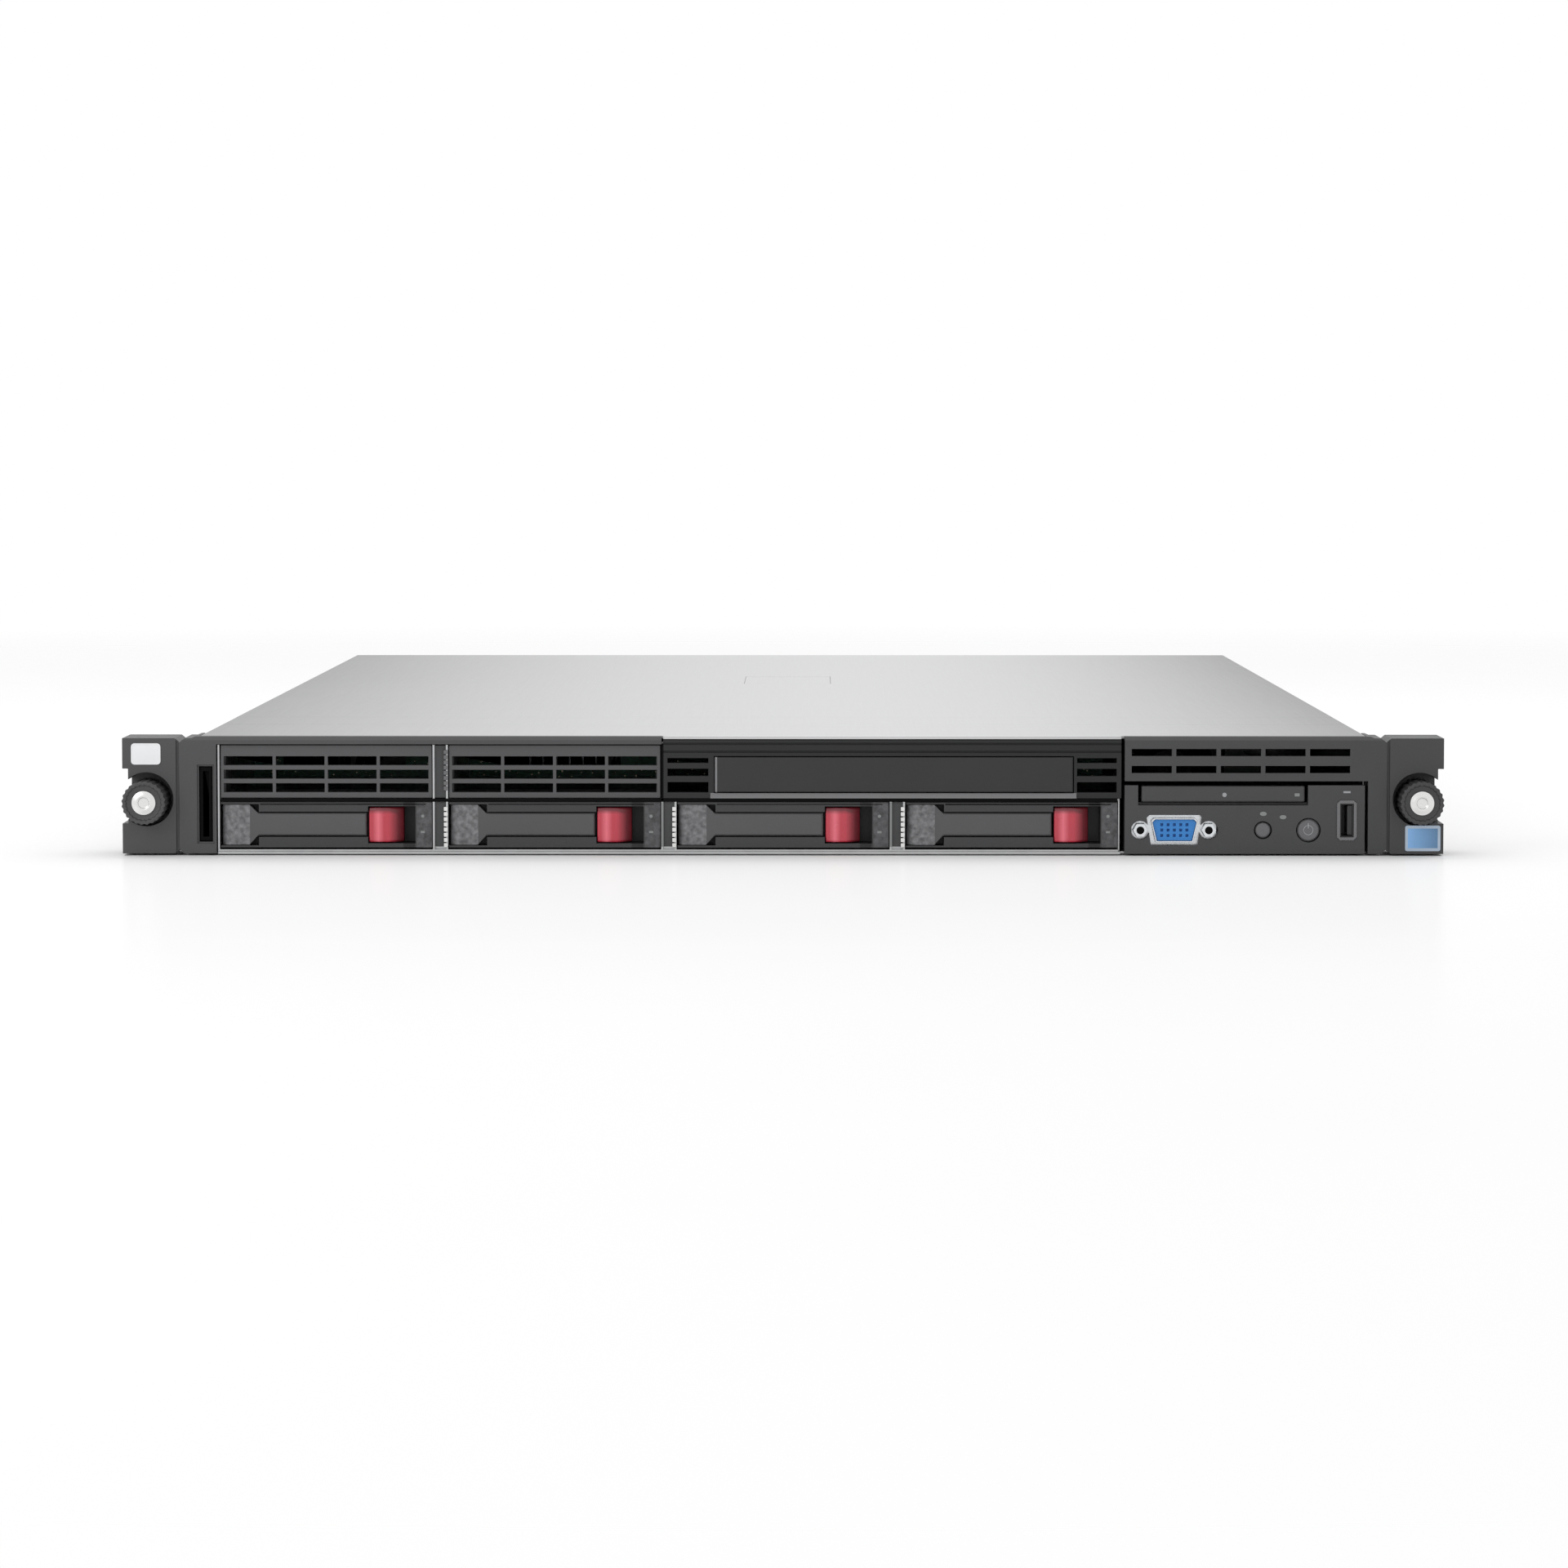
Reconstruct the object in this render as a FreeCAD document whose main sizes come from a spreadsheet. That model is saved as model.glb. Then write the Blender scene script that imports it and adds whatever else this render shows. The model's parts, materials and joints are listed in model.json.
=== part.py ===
import FreeCAD
import Part
import os
import collections
import math
import Sketcher
from FreeCAD import Placement, Rotation, Vector

# A 1U rack server: a shallow steel tray with a fixed front cover and a sliding access
# panel, a sheet-metal drive cage with four hot-plug drive carriers, moulded rack ears,
# a front connector panel, fans, system board and two hot-plug power supplies.
# Frame: +X to the right seen from the front, +Y to the rear, +Z up, z = 0 on the
# underside of the tray.  Lengths are millimetres.

SIZES = (
    # alias, value, meaning
    ("case_depth", 695.3, "front face to rear wall"),
    ("case_height", 43.2, "underside to top sheet"),
    ("sheet", 1.0, "steel sheet of tray and covers"),
    ("lid_gap", 0.3, "running gap of the access panel"),
    ("fit_gap", 0.3, "gap round a moving or seated piece"),
    ("rack_width", 482.6, "over the rack ears"),
    ("ear_reach", 28.2, "rack ear beyond the side of the case"),
    ("screw_edge", 8.75, "rack screw from the edge of the ear"),
    ("screw_height", 19.4, "rack screw above the underside"),
    ("screw_radius", 2.5, "rack screw thread"),
    ("screw_out", 12.0, "rack screw proud of the ear bracket"),
    ("knob_radius", 8.0, "thumbscrew grip"),
    ("knob_out", 9.0, "thumbscrew proud of the front face"),
    ("shank_radius", 2.1, "relieved shank of the captive screw"),
    ("head_radius", 4.4, "steel screw head in the grip"),
    ("handle_out", 22.0, "power supply handle proud of the rear wall"),
    ("ear_thickness", 24.0, "front face to bracket"),
    ("ear_top", 42.6, "top of the moulded ears"),
    ("ear_foot", 0.3, "ears and connector panel above the underside"),
    ("ear_width", 21.0, "ear outside its notches"),
    ("ear_step", 2.1, "step in the edge of the ear beside the thumbscrew"),
    ("notch", 1.8, "half width of the notches above and below the ear"),
    ("cheek_lap", 6.2, "cheek over the end of the drive cage"),
    ("pocket_radius", 9.8, "recess round the thumbscrew"),
    ("pocket_depth", 11.0, "recess round the thumbscrew, front to back"),
    ("trim_height", 2.9, "moulded strip above the drive bays"),
    ("trim_depth", 5.0, "moulded strip, front to back"),
    ("channel", 4.05, "gap between two drive cells"),
    ("carrier_height", 16.7, "drive carrier face"),
    ("carrier_foot", 2.4, "carrier above the underside"),
    ("carrier_inset", 1.6, "carrier face behind the front face"),
    ("carrier_length", 122.0, "drive carrier, front to back"),
    ("carrier_rail", 1.6, "side rail of the carrier"),
    ("face_depth", 12.0, "moulded face of the carrier"),
    ("disk_side", 3.7, "carrier wall and gap beside the disk drive"),
    ("disk_length", 100.2, "disk drive"),
    ("disk_height", 14.0, "disk drive"),
    ("lever_block", 10.4, "wide end of the eject lever"),
    ("lever_bar_low", 6.6, "narrow part of the lever, underside"),
    ("lever_bar_high", 15.2, "narrow part of the lever, top side"),
    ("lever_rest", 23.7, "carrier face beyond the lever tip"),
    ("lever_thickness", 6.4, "eject lever, front to back"),
    ("pin_radius", 1.0, "hinge pin of the lever"),
    ("pin_gap", 0.05, "running gap round pins and shafts"),
    ("button_width", 12.6, "release button"),
    ("button_height", 13.0, "release button"),
    ("button_bulge", 0.5, "release button, left edge behind its crown"),
    ("button_fall", 3.4, "release button, right edge behind its crown"),
    ("button_deep", 8.0, "release button, front to back"),
    ("cage_sheet", 0.8, "steel sheet of the drive cage"),
    ("cage_depth", 126.0, "drive cage, front to back"),
    ("shelf_height", 19.5, "shelf over the drives, underside"),
    ("cage_inset", 4.0, "shelf and roof behind the front edges of the cage"),
    ("blank_low", 20.5, "upper bay blank, underside"),
    ("blank_high", 39.9, "upper bay blank, top"),
    ("blank_depth", 26.0, "upper bay blank, front to back"),
    ("blank_wall", 1.6, "walls of the blank"),
    ("grille_bar", 1.2, "upright bars of the blank grille"),
    ("slot_low", 22.7, "lowest row of the blank grille"),
    ("slot_tall", 3.25, "opening in the blank grille"),
    ("slot_step", 4.95, "row to row in the blank grille"),
    ("media_inset", 1.0, "media bay bezel behind the front face"),
    ("grille_left", 18.8, "air slots left of the slim drive"),
    ("grille_right", 17.6, "air slots right of the slim drive"),
    ("drive_low", 22.7, "slim drive window, underside"),
    ("drive_high", 35.7, "slim drive window, top"),
    ("panel_width", 87.6, "connector panel"),
    ("panel_edge", 0.6, "connector panel short of the side of the case"),
    ("tab_gap", 1.2, "shadow gap round the pull-out display"),
    ("panel_top", 25.4, "connector panel, top"),
    ("seam", 1.5, "groove over the connector panel"),
    ("panel_thickness", 3.0, "front wall of the mouldings"),
    ("panel_depth", 26.0, "connector panel, front to back"),
    ("tab_from", 6.1, "pull-out display, from the left of the panel"),
    ("tab_width", 59.6, "pull-out display"),
    ("tab_low", 19.3, "pull-out display, underside"),
    ("tab_length", 92.0, "pull-out display, front to back"),
    ("screen_length", 57.0, "window of the pull-out display"),
    ("video_from", 18.2, "front video connector, from the left of the panel"),
    ("port_height", 9.0, "front video connector and buttons"),
    ("locator_from", 50.5, "locator button, from the left of the panel"),
    ("uid_radius", 3.0, "locator button"),
    ("power_from", 67.1, "power button, from the left of the panel"),
    ("power_radius", 4.2, "power button"),
    ("usb_from", 81.1, "front data port, from the left of the panel"),
    ("usb_height", 12.6, "front data port, middle height"),
    ("usb_width", 13.1, "data port shell, long side"),
    ("usb_tall", 5.7, "data port shell, short side"),
    ("usb_depth", 14.0, "data port shell, front to back"),
    ("usb_rim", 0.8, "flared rim of the front data port"),
    ("shell_wall", 0.4, "pressed shells of the connectors"),
    ("jack_pitch", 24.99, "between the jack screws of a video connector"),
    ("label_slot_low", 4.6, "slot of the label tab, underside"),
    ("label_slot_high", 32.2, "slot of the label tab, top"),
    ("label_slot_width", 4.9, "slot of the label tab"),
    ("label_length", 96.0, "label tab, front to back"),
    ("label_thick", 1.2, "label tab blade"),
    ("label_lip", 0.6, "wider mouth of the label slot"),
    ("front_cover_depth", 131.3, "front face to the seam of the access panel"),
    ("flange", 7.5, "side flanges of the covers"),
    ("panel_travel", 13.0, "access panel travel"),
    ("latch_length", 62.0, "hood latch"),
    ("latch_width", 34.0, "hood latch"),
    ("latch_from_rear", 230.0, "hood latch hinge from the rear wall"),
    ("latch_thick", 4.2, "hood latch"),
    ("fan_start", 152.0, "fans behind the front face"),
    ("fan_size", 38.6, "fan frame, square"),
    ("fan_depth", 38.0, "fan frame, front to back"),
    ("fan_bore", 17.9, "fan frame opening, radius"),
    ("fan_side", 41.5, "end fans from the side walls"),
    ("hub_radius", 8.6, "fan hub"),
    ("blade_radius", 17.4, "fan blade tip"),
    ("blade_depth", 13.0, "fan rotor, front to back"),
    ("blade_thick", 1.1, "fan blade"),
    ("shaft_radius", 1.5, "fan shaft"),
    ("board_height", 5.0, "system board above the underside"),
    ("board_thick", 1.6, "system board"),
    ("board_start", 212.0, "system board behind the front face"),
    ("supply_share", 0.2018, "width of a power supply as a share of the case"),
    ("supply_height", 39.4, "power supply"),
    ("supply_length", 196.0, "power supply"),
    ("supply_foot", 1.5, "power supply above the underside"),
    ("supply_gap", 1.4, "between the two power supplies"),
    ("stud_radius", 3.2, "rail stud head"),
    ("stud_out", 3.6, "rail stud proud of the side wall"),
)


class Size:
    """A length with its formula, so that a property can be bound to the sheet."""

    def __init__(self, formula, value):
        self.formula = formula
        self.value = value

    def __add__(self, other):
        return Size("(%s + %s)" % (formula(self), formula(other)), self.value + number(other))

    def __radd__(self, other):
        return Size("(%s + %s)" % (formula(other), formula(self)), number(other) + self.value)

    def __sub__(self, other):
        return Size("(%s - %s)" % (formula(self), formula(other)), self.value - number(other))

    def __rsub__(self, other):
        return Size("(%s - %s)" % (formula(other), formula(self)), number(other) - self.value)

    def __mul__(self, other):
        return Size("(%s * %s)" % (formula(self), formula(other)), self.value * number(other))

    __rmul__ = __mul__

    def __truediv__(self, other):
        return Size("(%s / %s)" % (formula(self), formula(other)), self.value / number(other))

    def __neg__(self):
        return Size("(0 - %s)" % formula(self), -self.value)


def number(size):
    return size.value if isinstance(size, Size) else float(size)


def formula(size):
    return size.formula if isinstance(size, Size) else repr(round(float(size), 6))


doc = FreeCAD.newDocument("rack_server")
sheet = doc.addObject("Spreadsheet::Sheet", "Dims")
for line, (alias, value, meaning) in enumerate(SIZES, 1):
    sheet.set("A%d" % line, meaning)
    sheet.set("B%d" % line, str(value))
    sheet.setAlias("B%d" % line, alias)
doc.recompute()


class Dims:
    """The sheet's cells by name."""


d = Dims()
for alias, value, meaning in SIZES:
    setattr(d, alias, Size("Dims." + alias, value))

nodes = []
XY = Rotation()
XZ = Rotation(Vector(1, 0, 0), 90)
YZ = Rotation(Vector(1, 1, 1), 120)
ALONG = {
    "X": (Rotation(Vector(0, 1, 0), 90), Vector(1, 0, 0)),
    "Y": (Rotation(Vector(1, 0, 0), -90), Vector(0, 1, 0)),
    "Z": (Rotation(), Vector(0, 0, 1)),
}


# ---- plain modelling steps, each bound to the sheet ----

def bind(thing, name, size):
    """Sets a property, and ties it to the sheet where the size comes from there."""
    if isinstance(size, Size):
        thing.setExpression(name, size.formula)
    elif name.startswith("Placement"):
        thing.setExpression(name, formula(size))
    else:
        setattr(thing, name, float(size))


def place(thing, x, y, z, turn=XY):
    thing.Placement = Placement(Vector(number(x), number(y), number(z)), turn)
    for axis, size in zip("xyz", (x, y, z)):
        bind(thing, "Placement.Base." + axis, size)
    return thing


def block(x, y, z):
    """A box from a low and a high bound along each axis."""
    box = doc.addObject("Part::Box", "Block")
    bind(box, "Length", x[1] - x[0])
    bind(box, "Width", y[1] - y[0])
    bind(box, "Height", z[1] - z[0])
    return place(box, x[0], y[0], z[0])


def rod(axis, start, radius, length):
    """A cylinder from its start point along an axis."""
    cylinder = doc.addObject("Part::Cylinder", "Rod")
    bind(cylinder, "Radius", radius)
    bind(cylinder, "Height", length)
    return place(cylinder, *start, turn=ALONG[axis][0])


def compound(things):
    joined = doc.addObject("Part::Compound", "Group")
    joined.Links = list(things)
    return joined


def cut(base, *tools):
    result = doc.addObject("Part::Cut", "Cut")
    result.Base = base
    result.Tool = tools[0] if len(tools) == 1 else compound(tools)
    return result


def fuse(*things):
    result = doc.addObject("Part::MultiFuse", "Fuse")
    result.Shapes = list(things)
    result.Refine = True
    return result


def draw(sketch, outline):
    """Draws a closed outline in a sketch, each corner tied to the sheet."""
    first = sketch.GeometryCount
    corners = [Vector(number(a), number(b), 0) for a, b in outline]
    count = len(corners)
    for i in range(count):
        line = Part.LineSegment(corners[i], corners[(i + 1) % count])
        sketch.addGeometry(line, False)
    for i in range(count):
        following = first + (i + 1) % count
        sketch.addConstraint(Sketcher.Constraint("Coincident", first + i, 2, following, 1))
    for i, corner in enumerate(outline):
        for kind, size in zip(("DistanceX", "DistanceY"), corner):
            rule = Sketcher.Constraint(kind, -1, 1, first + i, 1, number(size))
            index = sketch.addConstraint(rule)
            if isinstance(size, Size):
                sketch.setExpression("Constraints[%d]" % index, size.formula)


def prism(plane, outline, low, high):
    """An outline in the XY, XZ or YZ plane, extruded between two levels."""
    turn, normal = {
        "XY": (XY, Vector(0, 0, 1)),
        "XZ": (XZ, Vector(0, 1, 0)),
        "YZ": (YZ, Vector(1, 0, 0)),
    }[plane]
    sketch = doc.addObject("Sketcher::SketchObject", "Outline")
    origin = [0, 0, 0]
    origin[{"XY": 2, "XZ": 1, "YZ": 0}[plane]] = low
    draw(sketch, outline)
    place(sketch, *origin, turn=turn)
    solid = doc.addObject("Part::Extrusion", "Prism")
    solid.Base = sketch
    solid.DirMode = "Custom"
    solid.Dir = normal
    solid.Solid = True
    bind(solid, "LengthFwd", high - low)
    return solid


def runs_along(edge, axis):
    """True for a straight edge parallel to an axis."""
    if not isinstance(edge.Curve, Part.Line):
        return False
    return abs(edge.tangentAt(edge.FirstParameter).dot(ALONG[axis][1])) > 0.999


def mid(edge):
    return edge.valueAt((edge.FirstParameter + edge.LastParameter) / 2)


def node(label, thing):
    """Names a sub-part; its file takes the label."""
    thing.Label = label
    nodes.append(thing)
    return thing


def repeat(label, thing, x):
    """A further copy of a finished sub-part, moved along X."""
    copy = compound([thing])
    place(copy, x, 0, 0)
    return node(label, copy)


# ---- PartDesign steps ----

Round = collections.namedtuple("Round", "x y radius")


def new_body(name):
    return doc.addObject("PartDesign::Body", name)


def plane_of(body, role):
    for thing in body.Origin.OriginFeatures:
        if thing.Role == role:
            return thing
    raise ValueError(role)


def body_sketch(body, plane, level, outlines):
    """A sketch on one of the body's own planes, moved to a level."""
    sketch = body.newObject("Sketcher::SketchObject", "Sketch")
    sketch.AttachmentSupport = [(plane_of(body, plane + "_Plane"), "")]
    sketch.MapMode = "FlatFace"
    offset = -level if plane == "XZ" else level
    sketch.AttachmentOffset = Placement(Vector(0, 0, number(offset)), Rotation())
    sketch.setExpression("AttachmentOffset.Base.z", formula(offset))
    for outline in outlines:
        if isinstance(outline, Round):
            draw_round(sketch, outline)
        else:
            draw(sketch, outline)
    sketch.Visibility = False
    return sketch


def draw_round(sketch, outline):
    centre = Vector(number(outline.x), number(outline.y), 0)
    circle = Part.Circle(centre, Vector(0, 0, 1), number(outline.radius))
    index = sketch.addGeometry(circle, False)
    rules = (
        (Sketcher.Constraint("DistanceX", -1, 1, index, 3, number(outline.x)), outline.x),
        (Sketcher.Constraint("DistanceY", -1, 1, index, 3, number(outline.y)), outline.y),
        (Sketcher.Constraint("Radius", index, number(outline.radius)), outline.radius),
    )
    for rule, size in rules:
        constraint = sketch.addConstraint(rule)
        if isinstance(size, Size):
            sketch.setExpression("Constraints[%d]" % constraint, size.formula)


def solid(body, plane, low, high, *outlines):
    """A Pad from a low to a high level."""
    sketch = body_sketch(body, plane, low, outlines)
    pad = body.newObject("PartDesign::Pad", "Pad")
    pad.Profile = sketch
    pad.Reversed = plane == "XZ"
    bind(pad, "Length", high - low)
    doc.recompute()
    return pad


def hollow(body, plane, low, high, *outlines):
    """A Pocket from a low to a high level; it has to take something away."""
    before = body.Tip.Shape.Volume
    sketch = body_sketch(body, plane, low, outlines)
    pocket = body.newObject("PartDesign::Pocket", "Pocket")
    pocket.Profile = sketch
    pocket.Reversed = plane != "XZ"
    bind(pocket, "Length", high - low)
    doc.recompute()
    if not pocket.Shape.Volume < before - 0.001:
        raise RuntimeError("a pocket cuts nothing in " + body.Name)
    return pocket


def row_of(body, original, axis, length, count):
    """Repeats a feature in a straight line."""
    made = body.newObject("PartDesign::LinearPattern", "Row")
    made.Originals = [original]
    made.Direction = (plane_of(body, axis), [""])
    bind(made, "Length", length)
    made.Occurrences = count
    body.Tip = made
    doc.recompute()
    return made


def ring_of(body, original, axis, count):
    """Repeats a feature round an axis of the body."""
    made = body.newObject("PartDesign::PolarPattern", "Ring")
    made.Originals = [original]
    made.Axis = (plane_of(body, axis), [""])
    made.Angle = 360.0
    made.Occurrences = count
    body.Tip = made
    doc.recompute()
    return made


def eased(body, size, chosen, kind="Fillet"):
    """A Fillet or Chamfer on the edges that chosen(edge) accepts."""
    base = body.Tip
    names = ["Edge%d" % i for i, e in enumerate(base.Shape.Edges, 1) if chosen(e)]
    made = body.newObject("PartDesign::" + kind, kind)
    made.Base = (base, names)
    bind(made, "Radius" if kind == "Fillet" else "Size", size)
    doc.recompute()
    return made


FRONT = (d.knob_out - d.case_depth - d.handle_out) / 2
REAR = FRONT + d.case_depth
EAR_X = d.rack_width / 2
SCREW_X = EAR_X - d.screw_edge
NOTCH_X = EAR_X - d.ear_width
HALF = EAR_X - d.ear_reach
INNER = HALF - d.sheet
CHEEK = HALF - d.cheek_lap
LID = d.case_height - d.sheet
WALL_TOP = LID - d.lid_gap
FLOOR = d.sheet
PANEL_RIGHT = HALF - d.panel_edge
PANEL_LEFT = PANEL_RIGHT - d.panel_width
CAGE_LEFT = -CHEEK + d.fit_gap
CAGE_RIGHT = PANEL_LEFT - d.fit_gap * 5
BAY_PITCH = (CAGE_RIGHT - CAGE_LEFT + d.channel) / 4
CELL = BAY_PITCH - d.channel - d.cage_sheet * 2
CARRIER = CELL - d.fit_gap * 2
LEVER_TIP = CARRIER - d.lever_rest
MEDIA_LEFT = CAGE_LEFT + BAY_PITCH * 2 - d.channel
MEDIA_RIGHT = PANEL_LEFT - d.fit_gap * 4
CARRIER_TOP = d.carrier_foot + d.carrier_height
BEZEL_LOW = d.panel_top + d.seam
LABEL_X = -(INNER - d.label_slot_width / 2 + d.label_thick)
VIDEO_X = PANEL_LEFT + d.video_from
USB_X = PANEL_LEFT + d.usb_from
FAN_PITCH = (INNER - d.fan_side - d.fan_size / 2) * 2 / 3
SUPPLY = HALF * 2 * d.supply_share
REAR_LEFT = -INNER + (SUPPLY + d.supply_gap + d.sheet) * 2 + d.fit_gap * 2


def behind(distance):
    """A level behind the front face."""
    return FRONT + distance


def ahead(distance):
    """A level ahead of the rear face."""
    return REAR - distance


def bay_left(bay):
    """Left edge of the carrier or blank in a bay, counted from zero."""
    return CAGE_LEFT + d.cage_sheet + d.fit_gap + BAY_PITCH * bay


def rect(left, right, low, high):
    return [(left, low), (right, low), (right, high), (left, high)]


# ---- fixed sheet metal ----

def chassis_tray():
    """Folded tray and rear wall, with the front lip under the drives."""
    body = new_body("Tray")
    profile = [
        (-HALF, 0), (HALF, 0), (HALF, WALL_TOP), (INNER, WALL_TOP),
        (INNER, FLOOR), (-INNER, FLOOR), (-INNER, WALL_TOP), (-HALF, WALL_TOP),
    ]
    start = behind(d.panel_thickness + d.fit_gap * 4)
    solid(body, "XZ", start, REAR, profile)
    lip = rect(CAGE_LEFT, CAGE_RIGHT, 0, FLOOR)
    solid(body, "XZ", behind(d.media_inset), start, lip)
    solid(body, "XZ", ahead(d.sheet), REAR, rect(-INNER, INNER, FLOOR, WALL_TOP))
    bay_top = d.supply_foot + d.supply_height + d.fit_gap
    bays = rect(
        supply_x(0) - d.fit_gap, supply_x(1) + SUPPLY + d.fit_gap,
        d.supply_foot - d.fit_gap, bay_top,
    )
    hollow(body, "XZ", ahead(d.sheet), REAR, bays)
    for slot in (0, 1):
        left, right, low, high = slot_window(slot)
        hollow(body, "XZ", ahead(d.sheet), REAR, rect(left, right, low, high))
    for port in REAR_PORTS:
        hollow(body, "XZ", ahead(d.sheet), REAR, port_window(port, d.fit_gap))
    first = INNER - VENT_WIDTH
    vent = hollow(body, "XZ", ahead(d.sheet), REAR, rect(first, first + 2.4, 4, 18))
    row_of(body, vent, "X_Axis", VENT_WIDTH - 7, 7)
    drain = rect(-INNER * 0.7, -INNER * 0.7 + 12, behind(d.cage_depth + 6), behind(d.cage_depth + 10))
    knock = hollow(body, "XY", 0, FLOOR, drain)
    row_of(body, knock, "X_Axis", INNER * 1.3, 12)
    return node("chassis_tray", body)


VENT_WIDTH = 32


def front_cover():
    """Fixed cover over the drive bays, folded down inside the tray walls."""
    body = new_body("FrontCover")
    solid(body, "XZ", behind(d.trim_depth + d.fit_gap), behind(d.front_cover_depth), hood_profile())
    depth = d.ear_thickness + d.panel_thickness
    for side in (-1, 1):
        edge = side * (INNER - d.fit_gap)
        flank = rect(edge, edge - side * d.sheet, LID - d.flange, LID)
        hollow(body, "XZ", behind(d.trim_depth), behind(depth), flank)
    tongue = rect(MEDIA_LEFT, MEDIA_RIGHT, LID, d.case_height)
    solid(body, "XZ", behind(d.media_inset), behind(d.trim_depth + d.fit_gap), tongue)
    fold = rect(-HALF, HALF, behind(80), behind(80.8))
    hollow(body, "XY", d.case_height - 0.25, d.case_height, fold)
    return node("front_cover", body)


def hood_profile():
    """Top sheet with a flange down each side."""
    outer = INNER - d.fit_gap
    inner = outer - d.sheet
    foot = LID - d.flange
    return [
        (-HALF, LID), (-outer, LID), (-outer, foot), (-inner, foot), (-inner, LID),
        (inner, LID), (inner, foot), (outer, foot), (outer, LID), (HALF, LID),
        (HALF, d.case_height), (-HALF, d.case_height),
    ]


def access_panel():
    """Sliding cover with a sunk tray for the latch."""
    body = new_body("AccessPanel")
    start = behind(d.front_cover_depth + d.fit_gap)
    solid(body, "XZ", start, REAR, hood_profile())
    clear = d.panel_travel + d.sheet + d.fit_gap * 2
    for side in (-1, 1):
        edge = side * (INNER - d.fit_gap)
        flank = rect(edge, edge - side * d.sheet, LID - d.flange, LID)
        hollow(body, "XZ", ahead(clear), REAR, flank)
    half = d.latch_width / 2 + 2
    rear = ahead(d.latch_from_rear - 6)
    front = ahead(d.latch_from_rear + d.latch_length + 2)
    depth = d.latch_thick + d.fit_gap
    well = rect(-half - d.sheet, half + d.sheet, front - d.sheet, rear + d.sheet)
    solid(body, "XY", d.case_height - depth - d.sheet, LID, well)
    hollow(body, "XY", d.case_height - depth, d.case_height, rect(-half, half, front, rear))
    pin = Round(LATCH_Y, LATCH_Z, d.pin_radius)
    solid(body, "YZ", -half, half, pin)
    return node("access_panel", body)


LATCH_Y = ahead(d.latch_from_rear)
LATCH_Z = d.case_height - d.latch_thick / 2


def hood_latch():
    """Flush lever in the access panel, hinged at its rear end."""
    body = new_body("HoodLatch")
    half = d.latch_width / 2
    under = d.case_height - d.latch_thick
    solid(body, "XY", under, d.case_height, rect(-half, half, LATCH_Y - d.latch_length, LATCH_Y))
    solid(body, "YZ", -half, half, Round(LATCH_Y, LATCH_Z, d.latch_thick / 2))
    toe = number(LATCH_Y - d.latch_length) + 0.1
    eased(body, 3, lambda e: runs_along(e, "Z") and mid(e).y < toe, "Chamfer")
    hole = Round(LATCH_Y, LATCH_Z, d.pin_radius + d.pin_gap)
    hollow(body, "YZ", -half, half, hole)
    grip = rect(-half / 2, half / 2, LATCH_Y - d.latch_length, LATCH_Y - d.latch_length + 9)
    hollow(body, "XY", under, under + 2, grip)
    return node("hood_latch", body)


def drive_cage():
    """Riveted sheet cage: four drive cells below, two blanked bays above."""
    body = new_body("DriveCage")
    start = behind(d.media_inset)
    end = behind(d.cage_depth)
    low = FLOOR
    shelf_top = d.shelf_height + d.cage_sheet
    outer = rect(CAGE_LEFT, CAGE_RIGHT, low, shelf_top)
    cells = [rect(bay_left(bay) - d.fit_gap, bay_left(bay) - d.fit_gap + CELL,
                  low + d.cage_sheet, d.shelf_height) for bay in range(4)]
    gaps = [rect(bay_left(bay) - d.fit_gap + CELL + d.cage_sheet,
                 bay_left(bay + 1) - d.fit_gap - d.cage_sheet,
                 low + d.cage_sheet, d.shelf_height) for bay in range(3)]
    solid(body, "XZ", start, end, outer, *cells, *gaps)
    set_back = start + d.cage_inset
    solid(body, "XZ", start + 1.6, start + 1.6 + d.cage_sheet, *gaps)
    spans = [rect(cell[0][0], cell[1][0], d.shelf_height, shelf_top) for cell in cells]
    hollow(body, "XZ", start, set_back, *spans)
    hollow(body, "XZ", start, set_back, rect(CAGE_RIGHT - d.cage_sheet, CAGE_RIGHT, low, shelf_top))
    top = d.blank_high + d.fit_gap
    second = CAGE_LEFT + BAY_PITCH
    last = MEDIA_LEFT - d.cage_sheet
    for left, face in (
        (CAGE_LEFT, start), (second - d.channel - d.cage_sheet, start), (second, start), (last, set_back),
    ):
        solid(body, "XZ", face, end, rect(left, left + d.cage_sheet, shelf_top, top))
    roof = rect(CAGE_LEFT, MEDIA_LEFT, top, top + d.cage_sheet)
    solid(body, "XZ", behind(d.trim_depth + d.fit_gap), end, roof)
    return node("drive_cage", body)


def drive_backplane():
    """Connector board at the rear of the cage, one plug per drive cell."""
    body = new_body("Backplane")
    start = behind(d.cage_depth + d.fit_gap)
    board = rect(CAGE_LEFT, CAGE_RIGHT, FLOOR + d.fit_gap, d.blank_high - 4)
    solid(body, "XZ", start, start + d.board_thick, board)
    plug_low = d.carrier_foot + 3
    plug_start = behind(DISK_START + d.disk_length + d.fit_gap)
    for bay in range(4):
        middle = bay_left(bay) + CARRIER / 2
        plug = rect(middle - 22, middle + 22, plug_low, plug_low + 6)
        solid(body, "XZ", plug_start, start, plug)
    window = rect(CAGE_LEFT + 12, CAGE_LEFT + BAY_PITCH - 24, d.shelf_height + 4, d.blank_high - 8)
    air = hollow(body, "XZ", start, start + d.board_thick, window)
    row_of(body, air, "X_Axis", BAY_PITCH * 3, 4)
    return node("drive_backplane", body)


STUD_HEAD = 1.2


def min_of(one, other):
    """The lower of two places."""
    return one if number(one) < number(other) else other


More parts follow.
